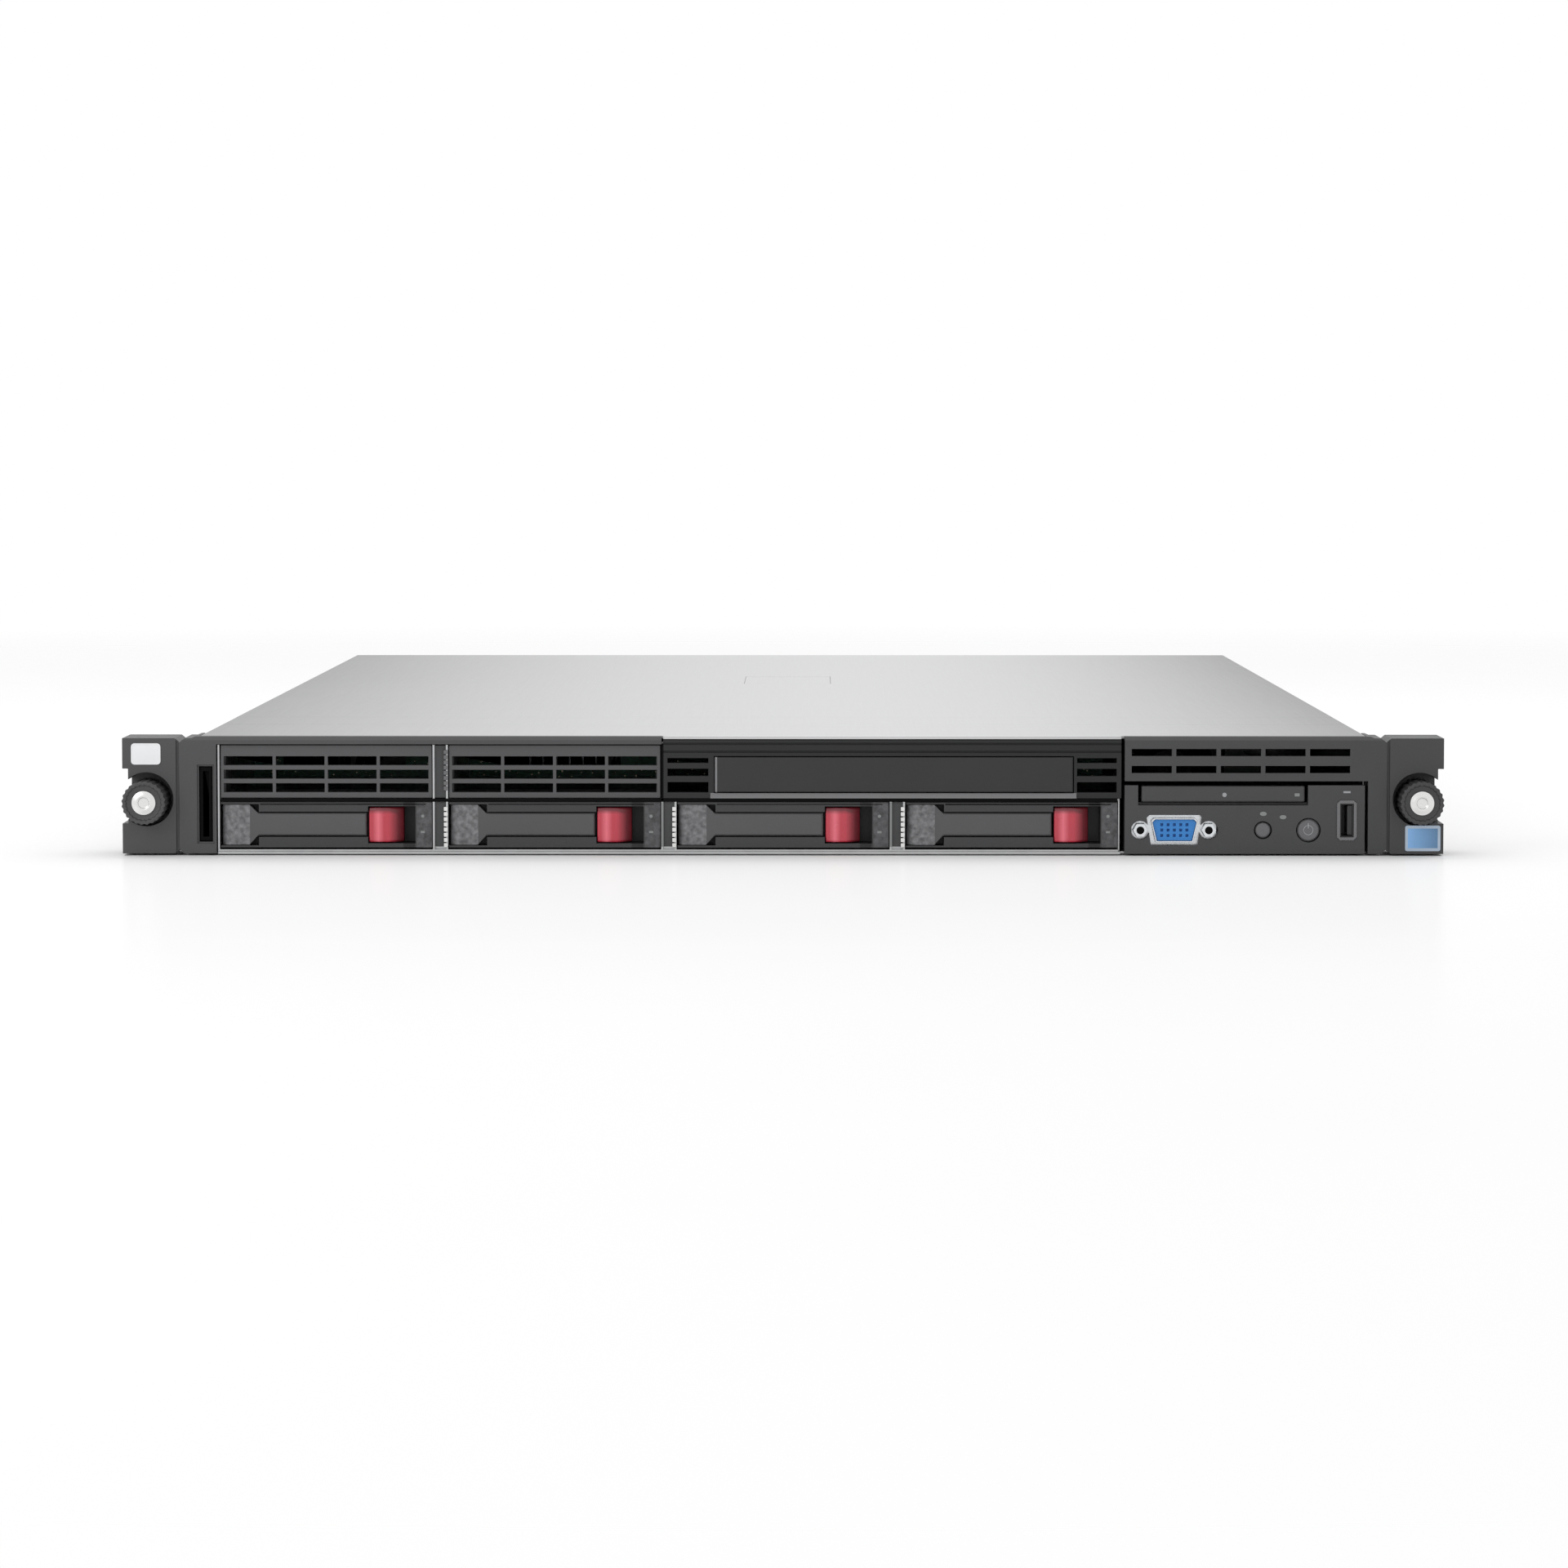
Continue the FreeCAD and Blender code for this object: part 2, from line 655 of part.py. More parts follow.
def rail_studs():
    """Shouldered studs that carry the chassis in its rack rails."""
    studs = []
    for side in (-1, 1):
        outer = side * (HALF + d.stud_out)
        for y in (behind(90), ahead(60)):
            height = d.case_height / 2
            root = min_of(side * HALF, outer)
            shank = prism("YZ", polygon(y, height, d.stud_radius * 0.6, 12), root, root + d.stud_out)
            neck = min_of(outer, outer - side * STUD_HEAD)
            head = prism("YZ", polygon(y, height, d.stud_radius, 16), neck, neck + STUD_HEAD)
            studs.append(fuse(shank, head))
    return node("rail_studs", compound(studs))


# ---- rack ears and front mouldings ----

def ear_outline(side):
    """Outside of an ear from the lower notch round to the upper one."""
    step = EAR_X - d.ear_step
    low = d.screw_height - d.knob_radius
    high = d.screw_height + d.knob_radius + 4
    points = [
        (NOTCH_X - d.notch, d.ear_foot), (NOTCH_X, d.ear_foot + 1.5), (NOTCH_X + d.notch, d.ear_foot),
        (EAR_X, d.ear_foot), (EAR_X, low), (step, low), (step, high), (EAR_X, high), (EAR_X, d.ear_top),
        (NOTCH_X + d.notch, d.ear_top), (NOTCH_X, d.ear_top - 1.5), (NOTCH_X - d.notch, d.ear_top),
    ]
    return [(side * x, z) for x, z in points]


def finish_ear(body, side):
    """Knob recess, screw hole, groove and hollow back shared by both ears."""
    screw = side * SCREW_X
    back = behind(d.ear_thickness)
    hollow(body, "XZ", behind(0), behind(d.pocket_depth),
           Round(screw, d.screw_height + 0.8, d.pocket_radius))
    hollow(body, "XZ", behind(0), back,
           Round(screw, d.screw_height, d.screw_radius + d.fit_gap))
    groove = side * (NOTCH_X + 0.8)
    hollow(body, "XZ", behind(0), behind(0.9),
           rect(groove - 0.5, groove + 0.5, d.ear_foot, d.ear_top))
    wall = side * (HALF + d.fit_gap)
    inner = side * (CHEEK - 0.5)
    hollow(body, "XZ", behind(d.panel_thickness), back, rect(inner, wall, 0, d.case_height + 1))
    return body


def left_ear():
    """Left ear, cheek with the label slot, and the strip over the drive bays."""
    body = new_body("LeftEar")
    back = behind(d.ear_thickness)
    strip_low = d.case_height - d.trim_height
    strip_end = MEDIA_LEFT - d.fit_gap * 2
    outline = ear_outline(-1) + [
        (-HALF - 3, d.ear_top), (-HALF - 1.5, d.case_height), (-CHEEK, d.case_height),
        (-CHEEK, d.ear_foot),
    ]
    solid(body, "XZ", FRONT, back, outline)
    finish_ear(body, -1)
    strip = rect(-CHEEK, strip_end, strip_low, d.case_height)
    solid(body, "XZ", FRONT, behind(d.trim_depth), strip)
    for depth, spare in ((d.panel_thickness, 0), (1.0, d.label_lip)):
        half = d.label_slot_width / 2 + spare
        slot = rect(LABEL_X - half, LABEL_X + half, d.label_slot_low - spare, d.label_slot_high + spare)
        hollow(body, "XZ", FRONT, behind(depth), slot)
    eased(body, 1.4, lambda e: front_edge(e) and mid(e).z > number(d.case_height) - 0.1, "Chamfer")
    return node("left_ear", body)


def front_edge(edge):
    """A level edge across the front face."""
    return runs_along(edge, "X") and abs(mid(edge).y - number(FRONT)) < 0.01


def right_ear():
    """Right ear and cheek with the air grille over the connector panel."""
    body = new_body("RightEar")
    back = behind(d.ear_thickness)
    seam_x = PANEL_RIGHT + d.seam - d.fit_gap
    outline = ear_outline(1) + [
        (HALF + 3, d.ear_top), (HALF + 1.5, d.case_height), (PANEL_LEFT, d.case_height),
        (PANEL_LEFT, BEZEL_LOW), (seam_x, BEZEL_LOW), (seam_x, d.ear_foot),
    ]
    solid(body, "XZ", FRONT, back, outline)
    finish_ear(body, 1)
    inside = rect(PANEL_LEFT + 2, HALF + d.fit_gap, BEZEL_LOW + 1.6, LID - d.lid_gap)
    hollow(body, "XZ", behind(d.panel_thickness), back, inside)
    above = rect(PANEL_LEFT, HALF + d.fit_gap, LID - d.lid_gap, d.case_height)
    hollow(body, "XZ", behind(d.trim_depth), back, above)
    slot_pitch = (d.panel_width - 6.3) / 5
    first = PANEL_LEFT + 2.5
    for low in (BEZEL_LOW + 3.0, BEZEL_LOW + 9.2):
        opening = rect(first, first + slot_pitch - 1.6, low, low + 2.6)
        slot = hollow(body, "XZ", FRONT, behind(d.panel_thickness), opening)
        row_of(body, slot, "X_Axis", slot_pitch * 4, 5)
    eased(body, 1.4, lambda e: front_edge(e) and mid(e).z > number(d.case_height) - 0.1, "Chamfer")
    return node("right_ear", body)


def ear_brackets():
    """Folded steel brackets that carry the ears on the tray walls."""
    brackets = []
    front = behind(d.ear_thickness)
    thick = d.sheet * 2
    for side in (-1, 1):
        wall = side * HALF
        outer = side * (HALF + thick)
        edge = side * (EAR_X - 2.4)
        angle = [
            (wall, front), (edge, front), (edge, front + thick), (outer, front + thick),
            (outer, front + 60), (wall, front + 60),
        ]
        bent = prism("XY", angle, 2.0, 40.0)
        hole = rod("Y", (side * SCREW_X, front, d.screw_height), d.screw_radius + d.fit_gap, thick)
        brackets.append(cut(bent, hole))
    return node("ear_brackets", compound(brackets))


def thumbscrew(label, side):
    """Captive rack screw: a fluted moulded grip over a turned steel screw."""
    front = FRONT - d.knob_out
    grip_back = behind(d.pocket_depth - d.fit_gap)
    seat = front + 2.2
    head = polygon(0, 0, d.head_radius, 24)
    shank = polygon(0, 0, d.shank_radius, 16)
    grip = new_body("Grip")
    solid(grip, "XZ", front, grip_back, polygon(0, 0, d.knob_radius, 24))
    eased(grip, 1.4, lambda e: abs(mid(e).y - number(front)) < 0.01, "Chamfer")
    hollow(grip, "XZ", front, seat, head)
    hollow(grip, "XZ", seat, grip_back, shank)
    flute = hollow(grip, "XZ", front + 2.6, grip_back, [
        (d.knob_radius - 0.6, 0), (d.knob_radius + 0.2, -0.8), (d.knob_radius + 0.2, 0.8),
    ])
    ring_of(grip, flute, "Y_Axis", 12)
    screw = new_body("Screw")
    bracket_back = behind(d.ear_thickness + d.sheet * 2)
    tip = bracket_back + d.screw_out
    solid(screw, "XZ", front + 0.4, seat, head)
    solid(screw, "XZ", seat, bracket_back + 1, shank)
    solid(screw, "XZ", bracket_back + 1, tip, Round(0, 0, d.screw_radius))
    eased(screw, 1, lambda e: abs(mid(e).y - number(tip)) < 0.01, "Chamfer")
    hollow(screw, "XZ", front + 0.4, front + 1.6, rect(-3.4, 3.4, -0.5, 0.5))
    pair = compound([grip, screw])
    place(pair, side * SCREW_X, 0, d.screw_height)
    return node(label, pair)


def label_tab():
    """Sliding blade for the owner's label, drawn out through the left cheek."""
    body = new_body("LabelTab")
    gap = d.fit_gap
    half = d.label_slot_width / 2 - gap
    low = d.label_slot_low + gap
    high = d.label_slot_high - gap
    head = rect(LABEL_X - half, LABEL_X + half, low, high)
    solid(body, "XZ", behind(1.4), behind(d.panel_thickness + 1), head)
    blade = rect(LABEL_X - d.label_thick / 2, LABEL_X + d.label_thick / 2, low + 1, high - 1)
    solid(body, "XZ", behind(d.panel_thickness + 1), behind(d.label_length), blade)
    grip = rect(LABEL_X - half / 2, LABEL_X + half / 2, low + 1.5, high - 1.5)
    hollow(body, "XZ", behind(1.4), behind(3.4), grip)
    return node("label_tab", body)


def io_panel():
    """Moulded panel with the front connectors and buttons."""
    body = new_body("ConnectorPanel")
    wall = behind(d.panel_thickness)
    back = behind(d.panel_depth)
    low = FLOOR + d.fit_gap
    solid(body, "XZ", FRONT, wall, rect(PANEL_LEFT, PANEL_RIGHT, d.ear_foot, d.panel_top))
    outside = rect(PANEL_LEFT, INNER - d.fit_gap, low, d.panel_top - 0.5)
    inside = rect(PANEL_LEFT + 2, INNER - 2 - d.fit_gap, low + 1.2, d.panel_top - 0.5)
    solid(body, "XZ", wall, back, outside)
    hollow(body, "XZ", wall, back, inside)
    left = PANEL_LEFT + d.tab_from
    tab = rect(left - d.tab_gap, left + d.tab_width + d.tab_gap, d.tab_low - d.tab_gap, d.panel_top)
    hollow(body, "XZ", FRONT, wall, tab)
    shelf = rect(PANEL_LEFT + 1, INNER - 1 - d.fit_gap, d.tab_low - 2.1, d.tab_low - d.fit_gap)
    solid(body, "XZ", wall, back, shelf)
    for start, radius in ((d.locator_from, d.uid_radius), (d.power_from, d.power_radius)):
        hole = Round(PANEL_LEFT + start, d.port_height, radius + d.fit_gap)
        hollow(body, "XZ", FRONT, wall, hole)
    usb = rect(
        USB_X - d.usb_tall / 2 - d.fit_gap, USB_X + d.usb_tall / 2 + d.fit_gap,
        d.usb_height - d.usb_width / 2 - d.fit_gap, d.usb_height + d.usb_width / 2 + d.fit_gap,
    )
    hollow(body, "XZ", FRONT, behind(d.usb_depth + 2), usb)
    hollow(body, "XZ", FRONT, wall, dee(VIDEO_X, d.port_height, DEE_WIDTH + 3.4, DEE_TALL + 2.4))
    for side in (-1, 1):
        jack = polygon(VIDEO_X + side * d.jack_pitch / 2, d.port_height, 3.4, 16)
        hollow(body, "XZ", FRONT, wall, jack)
    return node("io_panel", body)


DEE_WIDTH = 16.9
DEE_TALL = 8.7


def dee(x, z, width, height):
    """Trapezium of a video or serial connector, wider above."""
    half = width / 2
    rise = height / 2
    return [
        (x - half + 1.6, z - rise), (x + half - 1.6, z - rise), (x + half, z + rise - 1),
        (x + half - 1, z + rise), (x - half + 1, z + rise), (x - half, z + rise - 1),
    ]


def front_vga_shell():
    """Pressed shell, flange and jack screws of the front video connector."""
    body = new_body("VideoShell")
    wall = behind(d.panel_thickness + d.fit_gap)
    x = VIDEO_X
    z = d.port_height
    solid(body, "XZ", wall, wall + 1, rect(x - 15.6, x + 15.6, z - 6, z + 6))
    solid(body, "XZ", behind(-0.4), wall, dee(x, z, DEE_WIDTH, DEE_TALL))
    inside = dee(x, z, DEE_WIDTH - d.shell_wall * 2, DEE_TALL - d.shell_wall * 2)
    hollow(body, "XZ", behind(-0.4), wall + 1, inside)
    for side in (-1, 1):
        centre = x + side * d.jack_pitch / 2
        solid(body, "XZ", behind(-1.2), wall, polygon(centre, z, 2.7, 6))
        hollow(body, "XZ", behind(-1.2), wall + 1, Round(centre, z, 1.4))
    return node("front_vga_shell", body)


def polygon(x, z, radius, sides):
    """A regular outline about a centre."""
    corners = [math.tau * i / sides for i in range(sides)]
    return [(x + radius * math.cos(a), z + radius * math.sin(a)) for a in corners]


def front_vga_insert():
    """Blue insulator of the front video connector with its three rows of contacts."""
    body = new_body("VideoInsert")
    x = VIDEO_X
    z = d.port_height
    back = behind(d.panel_thickness + 9)
    face = dee(x, z, DEE_WIDTH - 1, DEE_TALL - 1)
    solid(body, "XZ", behind(0.6), behind(d.panel_thickness + 1.6), face)
    solid(body, "XZ", behind(d.panel_thickness + 1.6), back, rect(x - 15, x + 15, z - 5.6, z + 5.6))
    for row in (-1, 0, 1):
        pin = hollow(body, "XZ", behind(0.6), behind(2.0), square(x - 4.6, z + row * 1.98, 0.5))
        row_of(body, pin, "X_Axis", 9.2, 5)
    return node("front_vga_insert", body)


def square(x, z, half):
    return rect(x - half, x + half, z - half, z + half)


def front_usb_port():
    """Pressed shell of the upright data port, with its tongue."""
    body = new_body("DataPort")
    x = USB_X
    z = d.usb_height
    half = d.usb_tall / 2
    rise = d.usb_width / 2
    wall = d.shell_wall
    inner = rect(x - half + wall, x + half - wall, z - rise + wall, z + rise - wall)
    back = behind(d.usb_depth)
    solid(body, "XZ", FRONT, back, rect(x - half, x + half, z - rise, z + rise))
    wide = half + d.usb_rim
    tall = rise + d.usb_rim
    solid(body, "XZ", behind(-wall), FRONT, rect(x - wide, x + wide, z - tall, z + tall))
    eased(body, 1.2, lambda e: runs_along(e, "Y") and mid(e).y < number(FRONT), "Chamfer")
    hollow(body, "XZ", behind(-wall), back - 1.5, inner)
    tongue = rect(x + 0.3, x + 2.1, z - rise + 1.2, z + rise - 1.2)
    solid(body, "XZ", behind(1.0), back - 1.5, tongue)
    return node("front_usb_port", body)


def round_key(label, x, radius):
    """Round push button in the connector panel, held by a square flange."""
    body = new_body("Key")
    face = behind(0.5)
    stop = behind(d.panel_thickness + d.fit_gap)
    solid(body, "XZ", face, stop, polygon(0, 0, radius, 24))
    eased(body, 0.6, lambda e: abs(mid(e).y - number(face)) < 0.01, "Chamfer")
    solid(body, "XZ", stop, stop + 1.5, square(0, 0, radius + 0.8))
    place(body, x, 0, d.port_height)
    return node(label, body)


def status_display_tab():
    """Slim drawer with the status display on its top side."""
    body = new_body("DisplayTab")
    high = d.panel_top - 0.2
    wall = behind(d.panel_thickness)
    left = PANEL_LEFT + d.tab_from
    right = left + d.tab_width
    solid(body, "XZ", FRONT, wall, rect(left, right, d.tab_low, high))
    tray = rect(left + 1, right - 1, d.tab_low, high - 1)
    solid(body, "XZ", wall, behind(d.tab_length), tray)
    window = rect(left + 6, right - 6, behind(12), behind(12) + d.screen_length)
    hollow(body, "XY", high - 1.8, high - 1, window)
    eased(body, 0.5, lambda e: abs(mid(e).y - number(FRONT)) < 0.01, "Chamfer")
    return node("status_display_tab", body)


def media_bezel():
    """Moulded bezel of the slim drive bay, slotted for air at both ends."""
    body = new_body("MediaBezel")
    low = d.shelf_height + d.cage_sheet + d.fit_gap
    top = LID - d.lid_gap
    front = behind(d.media_inset)
    wall = behind(d.media_inset + d.panel_thickness)
    back = behind(d.blank_depth)
    solid(body, "XZ", front, back, rect(MEDIA_LEFT, MEDIA_RIGHT, low, top))
    hollow(body, "XZ", wall, back, rect(MEDIA_LEFT + 1.6, MEDIA_RIGHT - 1.6, low + 1.2, top - 1.6))
    gap = d.fit_gap
    left = MEDIA_LEFT + d.grille_left
    right = MEDIA_RIGHT - d.grille_right
    window = rect(left - gap, right + gap, d.drive_low - gap, d.drive_high + gap)
    hollow(body, "XZ", front, wall, window)
    for start, end in ((MEDIA_LEFT + 1.5, left - 2.3), (right + 1.4, MEDIA_RIGHT - 1.7)):
        for level, tall in ((0, 3.8), (6.0, 2.7), (10.8, 1.8)):
            low = d.drive_low + level
            hollow(body, "XZ", front, wall, rect(start, end, low, low + tall))
    for level in (1.5, 4.4):
        low = d.drive_high + level
        line = rect(MEDIA_LEFT, MEDIA_RIGHT, low, low + 0.8)
        hollow(body, "XZ", front, front + 0.8, line)
    foot = d.shelf_height + d.cage_sheet + d.fit_gap
    ledge = [(front - 1.0, foot), (front, foot), (front, d.drive_low - 0.5), (front - 1.0, foot + 0.5)]
    solid(body, "YZ", left - 1.6, right + 1.2, ledge)
    return node("media_bezel", body)


def media_blank():
    """Filler tray that closes the slim drive bay."""
    body = new_body("MediaBlank")
    front = behind(d.media_inset - 0.4)
    face_back = behind(d.media_inset + d.panel_thickness)
    end = behind(d.label_length)
    left = MEDIA_LEFT + d.grille_left
    right = MEDIA_RIGHT - d.grille_right
    solid(body, "XZ", front, face_back, rect(left, right, d.drive_low, d.drive_high))
    sleeve = rect(left + 1, right - 1, d.drive_low + 0.4, d.drive_high - 0.6)
    solid(body, "XZ", face_back, end, sleeve)
    core = rect(left + 2.2, right - 2.2, d.drive_low + 1.4, d.drive_high - 0.6)
    hollow(body, "XZ", face_back, end - 1.2, core)
    eased(body, 0.5, lambda e: abs(mid(e).y - number(front)) < 0.01, "Chamfer")
    return node("media_blank", body)


def bay_blank():
    """Moulded filler of an unused bay with a grille of twelve openings."""
    body = new_body("BayBlank")
    left = bay_left(0)
    right = left + CARRIER
    wall = d.blank_wall
    front = behind(d.carrier_inset)
    face_back = front + d.panel_thickness
    end = behind(d.blank_depth)
    low = d.blank_low + 0.1
    solid(body, "XZ", front, end, rect(left, right, low, d.blank_high))
    inside = rect(left + wall, right - wall, low + wall, d.blank_high - wall)
    hollow(body, "XZ", face_back, end, inside)
    pitch = (CARRIER - d.grille_bar) / 4
    columns = []
    for column in range(4):
        start = left + d.grille_bar + pitch * column
        columns.append(rect(start, start + pitch - d.grille_bar, d.slot_low, d.slot_low + d.slot_tall))
    slots = hollow(body, "XZ", front, face_back, *columns)
    row_of(body, slots, "Z_Axis", d.slot_step * 2, 3)
    return node("bay_blank_1", body)


# ---- hot-plug drives ----

DISK_START = d.carrier_inset + d.face_depth + 5
PIN_U = 3.6
PIN_V = 5.4
LEVER_ROUND = 3.3


def drive_carrier():
    """Carrier: moulded face with lever bay and button well, hinge pin, rails and floor."""
    body = new_body("DriveCarrier")
    left = bay_left(0)
    right = left + CARRIER
    front = behind(d.carrier_inset)
    face_back = front + d.face_depth
    low = d.carrier_foot
    high = CARRIER_TOP
    plate = 0.8
    solid(body, "XZ", front, face_back, rect(left, right, low, high))
    well_left = left + LEVER_TIP + d.fit_gap
    bay_end = left + d.lever_block + 3.5
    hollow(body, "XZ", front, behind(LEVER_BACK), rect(left, bay_end, low + plate, high - plate))
    bar = rect(bay_end, well_left, d.lever_bar_low - d.fit_gap, d.lever_bar_high + d.fit_gap)
    hollow(body, "XZ", front, behind(LEVER_BACK), bar)
    well_right = well_left + d.button_width + d.fit_gap + 4.4
    middle = low + d.carrier_height / 2
    rise = d.button_height / 2 + d.fit_gap
    well = rect(well_left, well_right, middle - rise, middle + rise)
    hollow(body, "XZ", front, face_back - 1, well)
    rail_end = front + d.carrier_length
    for edge in (left, right - d.carrier_rail):
        solid(body, "XZ", face_back, rail_end, rect(edge, edge + d.carrier_rail, low, high - 2.5))
    floor = rect(left + d.carrier_rail, right - d.carrier_rail, low, low + 1)
    solid(body, "XZ", face_back, behind(DISK_START + d.disk_length), floor)
    opening = rect(left + 14, right - 14, behind(DISK_START + 10), behind(DISK_START + 84))
    hollow(body, "XY", low, low + 1, opening)
    hollow_line(body, left, bay_end, right, front, high)
    solid(body, "XY", low, high, Round(left + PIN_U, behind(PIN_V), d.pin_radius))
    return node("drive_carrier_1", body)


def hollow_line(body, left, bay_end, right, front, high):
    """Shadow line above the face strip."""
    line = rect(bay_end + 0.5, right - 2.3, high - 1.0, high - 0.6)
    hollow(body, "XZ", front, front + 0.8, line)


LEVER_BACK = 9.2


def eject_lever():
    """Cam lever: a wide textured end that tapers into the bar, hinged on the carrier."""
    body = new_body("EjectLever")
    left = bay_left(0)
    front = behind(d.carrier_inset + 0.5)
    low = d.carrier_foot + 0.9
    high = CARRIER_TOP - 0.9
    hinge = left + PIN_U
    shoulder = left + d.lever_block
    root = shoulder + 3
    tip = left + LEVER_TIP - d.fit_gap
    outline = [
        (hinge, low), (shoulder, low), (root, d.lever_bar_low), (tip, d.lever_bar_low),
        (tip, d.lever_bar_high), (root, d.lever_bar_high), (shoulder, high), (hinge, high),
    ]
    bar_back = front + d.lever_thickness - 2
    solid(body, "XZ", front, bar_back, outline)
    solid(body, "XZ", bar_back, behind(PIN_V + LEVER_ROUND), rect(hinge, shoulder, low, high))
    solid(body, "XY", low, high, Round(hinge, behind(PIN_V), LEVER_ROUND))
    hollow(body, "XY", low, high, Round(hinge, behind(PIN_V), d.pin_radius + d.pin_gap))
    rib = rect(root + 6, tip - 6, d.lever_bar_low + 1.6, d.lever_bar_high - 1.6)
    hollow(body, "XZ", bar_back - 2.4, bar_back, rib)
    eased(body, 0.6, lambda e: bar_edge(e, front, shoulder), "Chamfer")
    return node("eject_lever_1", body)


def bar_edge(edge, front, shoulder):
    """Front edges of the lever's bar."""
    middle = mid(edge)
    return abs(middle.y - number(front)) < 0.01 and middle.x > number(shoulder) + 4


def release_button():
    """Domed release button beside the lever's tip."""
    body = new_body("ReleaseButton")
    left = bay_left(0) + LEVER_TIP + d.fit_gap * 2
    front = behind(d.carrier_inset + 0.3)
    middle = d.carrier_foot + d.carrier_height / 2
    rise = d.button_height / 2
    half = d.button_width / 2
    curve = [
        (left + half * (1 + share), front + (d.button_bulge if share < 0 else d.button_fall) * share ** 2)
        for share in (-1, -0.5, 0, 0.25, 0.5, 0.75, 1)
    ]
    back = front + d.button_deep
    outline = curve + [(left + d.button_width, back), (left, back)]
    solid(body, "XY", middle - rise, middle + rise, outline)
    ends = (number(middle - rise), number(middle + rise))
    limit = number(front + d.button_fall)
    eased(body, 0.6, lambda e: mid(e).z in ends and mid(e).y < limit, "Chamfer")
    return node("release_button_1", body)


def disk_drive():
    """Small disk drive with its sealed cover plate."""
    body = new_body("DiskDrive")
    left = bay_left(0) + d.disk_side
    right = bay_left(0) + CARRIER - d.disk_side
    low = d.carrier_foot + 1 + d.fit_gap
    start = behind(DISK_START)
    end = start + d.disk_length
    solid(body, "XZ", start, end, rect(left, right, low, low + d.disk_height))
    eased(body, 1.5, lambda e: runs_along(e, "Z"), "Chamfer")
    top = low + d.disk_height
    hollow(body, "XY", top - 0.5, top, rect(left + 3, right - 3, end - 9, end - 8))
    return node("disk_drive_1", body)


# ---- cooling and board ----

def fan_x(fan):
    return FAN_PITCH * (fan - 1.5)


FAN_Z = FLOOR + d.fit_gap + d.fan_size / 2


def fan_frames():
    """Square fan frames, each with a motor mount, three stays and a shaft."""
    first = new_body("FanFrame")
    start = behind(d.fan_start)
    end = start + d.fan_depth
    half = d.fan_size / 2
    solid(first, "XZ", start, end, rect(-half, half, FAN_Z - half, FAN_Z + half))
    hollow(first, "XZ", start, end, polygon(0, FAN_Z, d.fan_bore, 28))
    stay = end - 3
    solid(first, "XZ", stay, end, polygon(0, FAN_Z, d.hub_radius, 16))
    solid(first, "XZ", stay, end, rect(-1, 1, FAN_Z - half + 0.5, FAN_Z + half - 0.5))
    solid(first, "XZ", stay, end, rect(-half + 0.5, half - 0.5, FAN_Z - 1, FAN_Z + 1))
    solid(first, "XZ", start + 6, stay, Round(0, FAN_Z, d.shaft_radius))
    eased(first, 2, lambda e: runs_along(e, "Y") and abs(mid(e).x) > number(half) - 0.1, "Chamfer")
    frames = [place(compound([first]), fan_x(fan), 0, 0) for fan in range(4)]
    return node("fan_frames", compound(frames))


def fan_rotor():
    """Hub with seven pitched blades, running on the frame's shaft."""
    start = behind(d.fan_start + 4)
    end = start + d.blade_depth
    hub = prism("XZ", polygon(0, FAN_Z, d.hub_radius, 21), start, end)
    blades = []
    for turn in range(7):
        blade = block(
            (0, d.blade_thick), (start + 1, end - 1),
            (d.hub_radius - 1, d.blade_radius - 1),
        )
        angle = Rotation(Vector(0, 1, 0), 360 * turn / 7.0)
        pitched = Rotation(Vector(0, 0, 1), -32)
        single = compound([blade])
        centre = Vector(0, number(start) + number(d.blade_depth) / 2, 0)
        tilt = Placement(Vector(0, 0, 0), pitched, centre)
        single.Placement = Placement(Vector(0, 0, number(FAN_Z)), angle).multiply(tilt)
        blades.append(single)
    bore = rod("Y", (0, start, FAN_Z), d.shaft_radius + d.pin_gap, d.blade_depth)
    rotor = cut(fuse(hub, *blades), bore)
    place(rotor, fan_x(0), 0, 0)
    return node("fan_rotor_1", rotor)


BOARD_TOP = d.board_height + d.board_thick
HEAT_START = 262
HEAT_WIDTH = 88
HEAT_SINKS = (-INNER + 150, INNER - 138)


def motherboard():
    """System board on standoffs, narrowed beside the supplies, with sockets and chips."""
    body = new_body("Board")
    under = d.board_height
    bay = supply_x(1) + SUPPLY + 3
    outline = [
        (-INNER + 3, behind(d.board_start)), (INNER - 3, behind(d.board_start)),
        (INNER - 3, ahead(d.sheet + 1)), (bay, ahead(d.sheet + 1)),
        (bay, ahead(d.supply_length + 16)), (-INNER + 3, ahead(d.supply_length + 16)),
    ]
    solid(body, "XY", under, BOARD_TOP, outline)
    rear_row = ahead(d.supply_length + 28)
    posts = [polygon(x, y, 3, 6) for x in (-INNER + 12, 0, INNER - 12) for y in (behind(222), rear_row)]
    solid(body, "XY", FLOOR, under, *posts)
    sockets = [rect(x - 26, x + 26, behind(HEAT_START + 14), behind(HEAT_START + 66)) for x in HEAT_SINKS]
    solid(body, "XY", BOARD_TOP, BOARD_TOP + 4, *sockets)
    for left in MEMORY_ROWS:
        back = behind(MEMORY_START + MEMORY_LONG + 3)
        slot = rect(left - 2.6, left + 2.6, behind(MEMORY_START - 3), back)
        row_of(body, solid(body, "XY", BOARD_TOP, BOARD_TOP + 5.5, slot), "X_Axis", MEMORY_STEP * 3, 4)
    chips = [
        rect(REAR_LEFT + x, REAR_LEFT + x + size, ahead(y), ahead(y - size))
        for x, y, size in ((95, 135, 30), (155, 265, 36), (45, 245, 20))
    ]
    solid(body, "XY", BOARD_TOP, BOARD_TOP + 3, *chips)
    return node("motherboard", body)


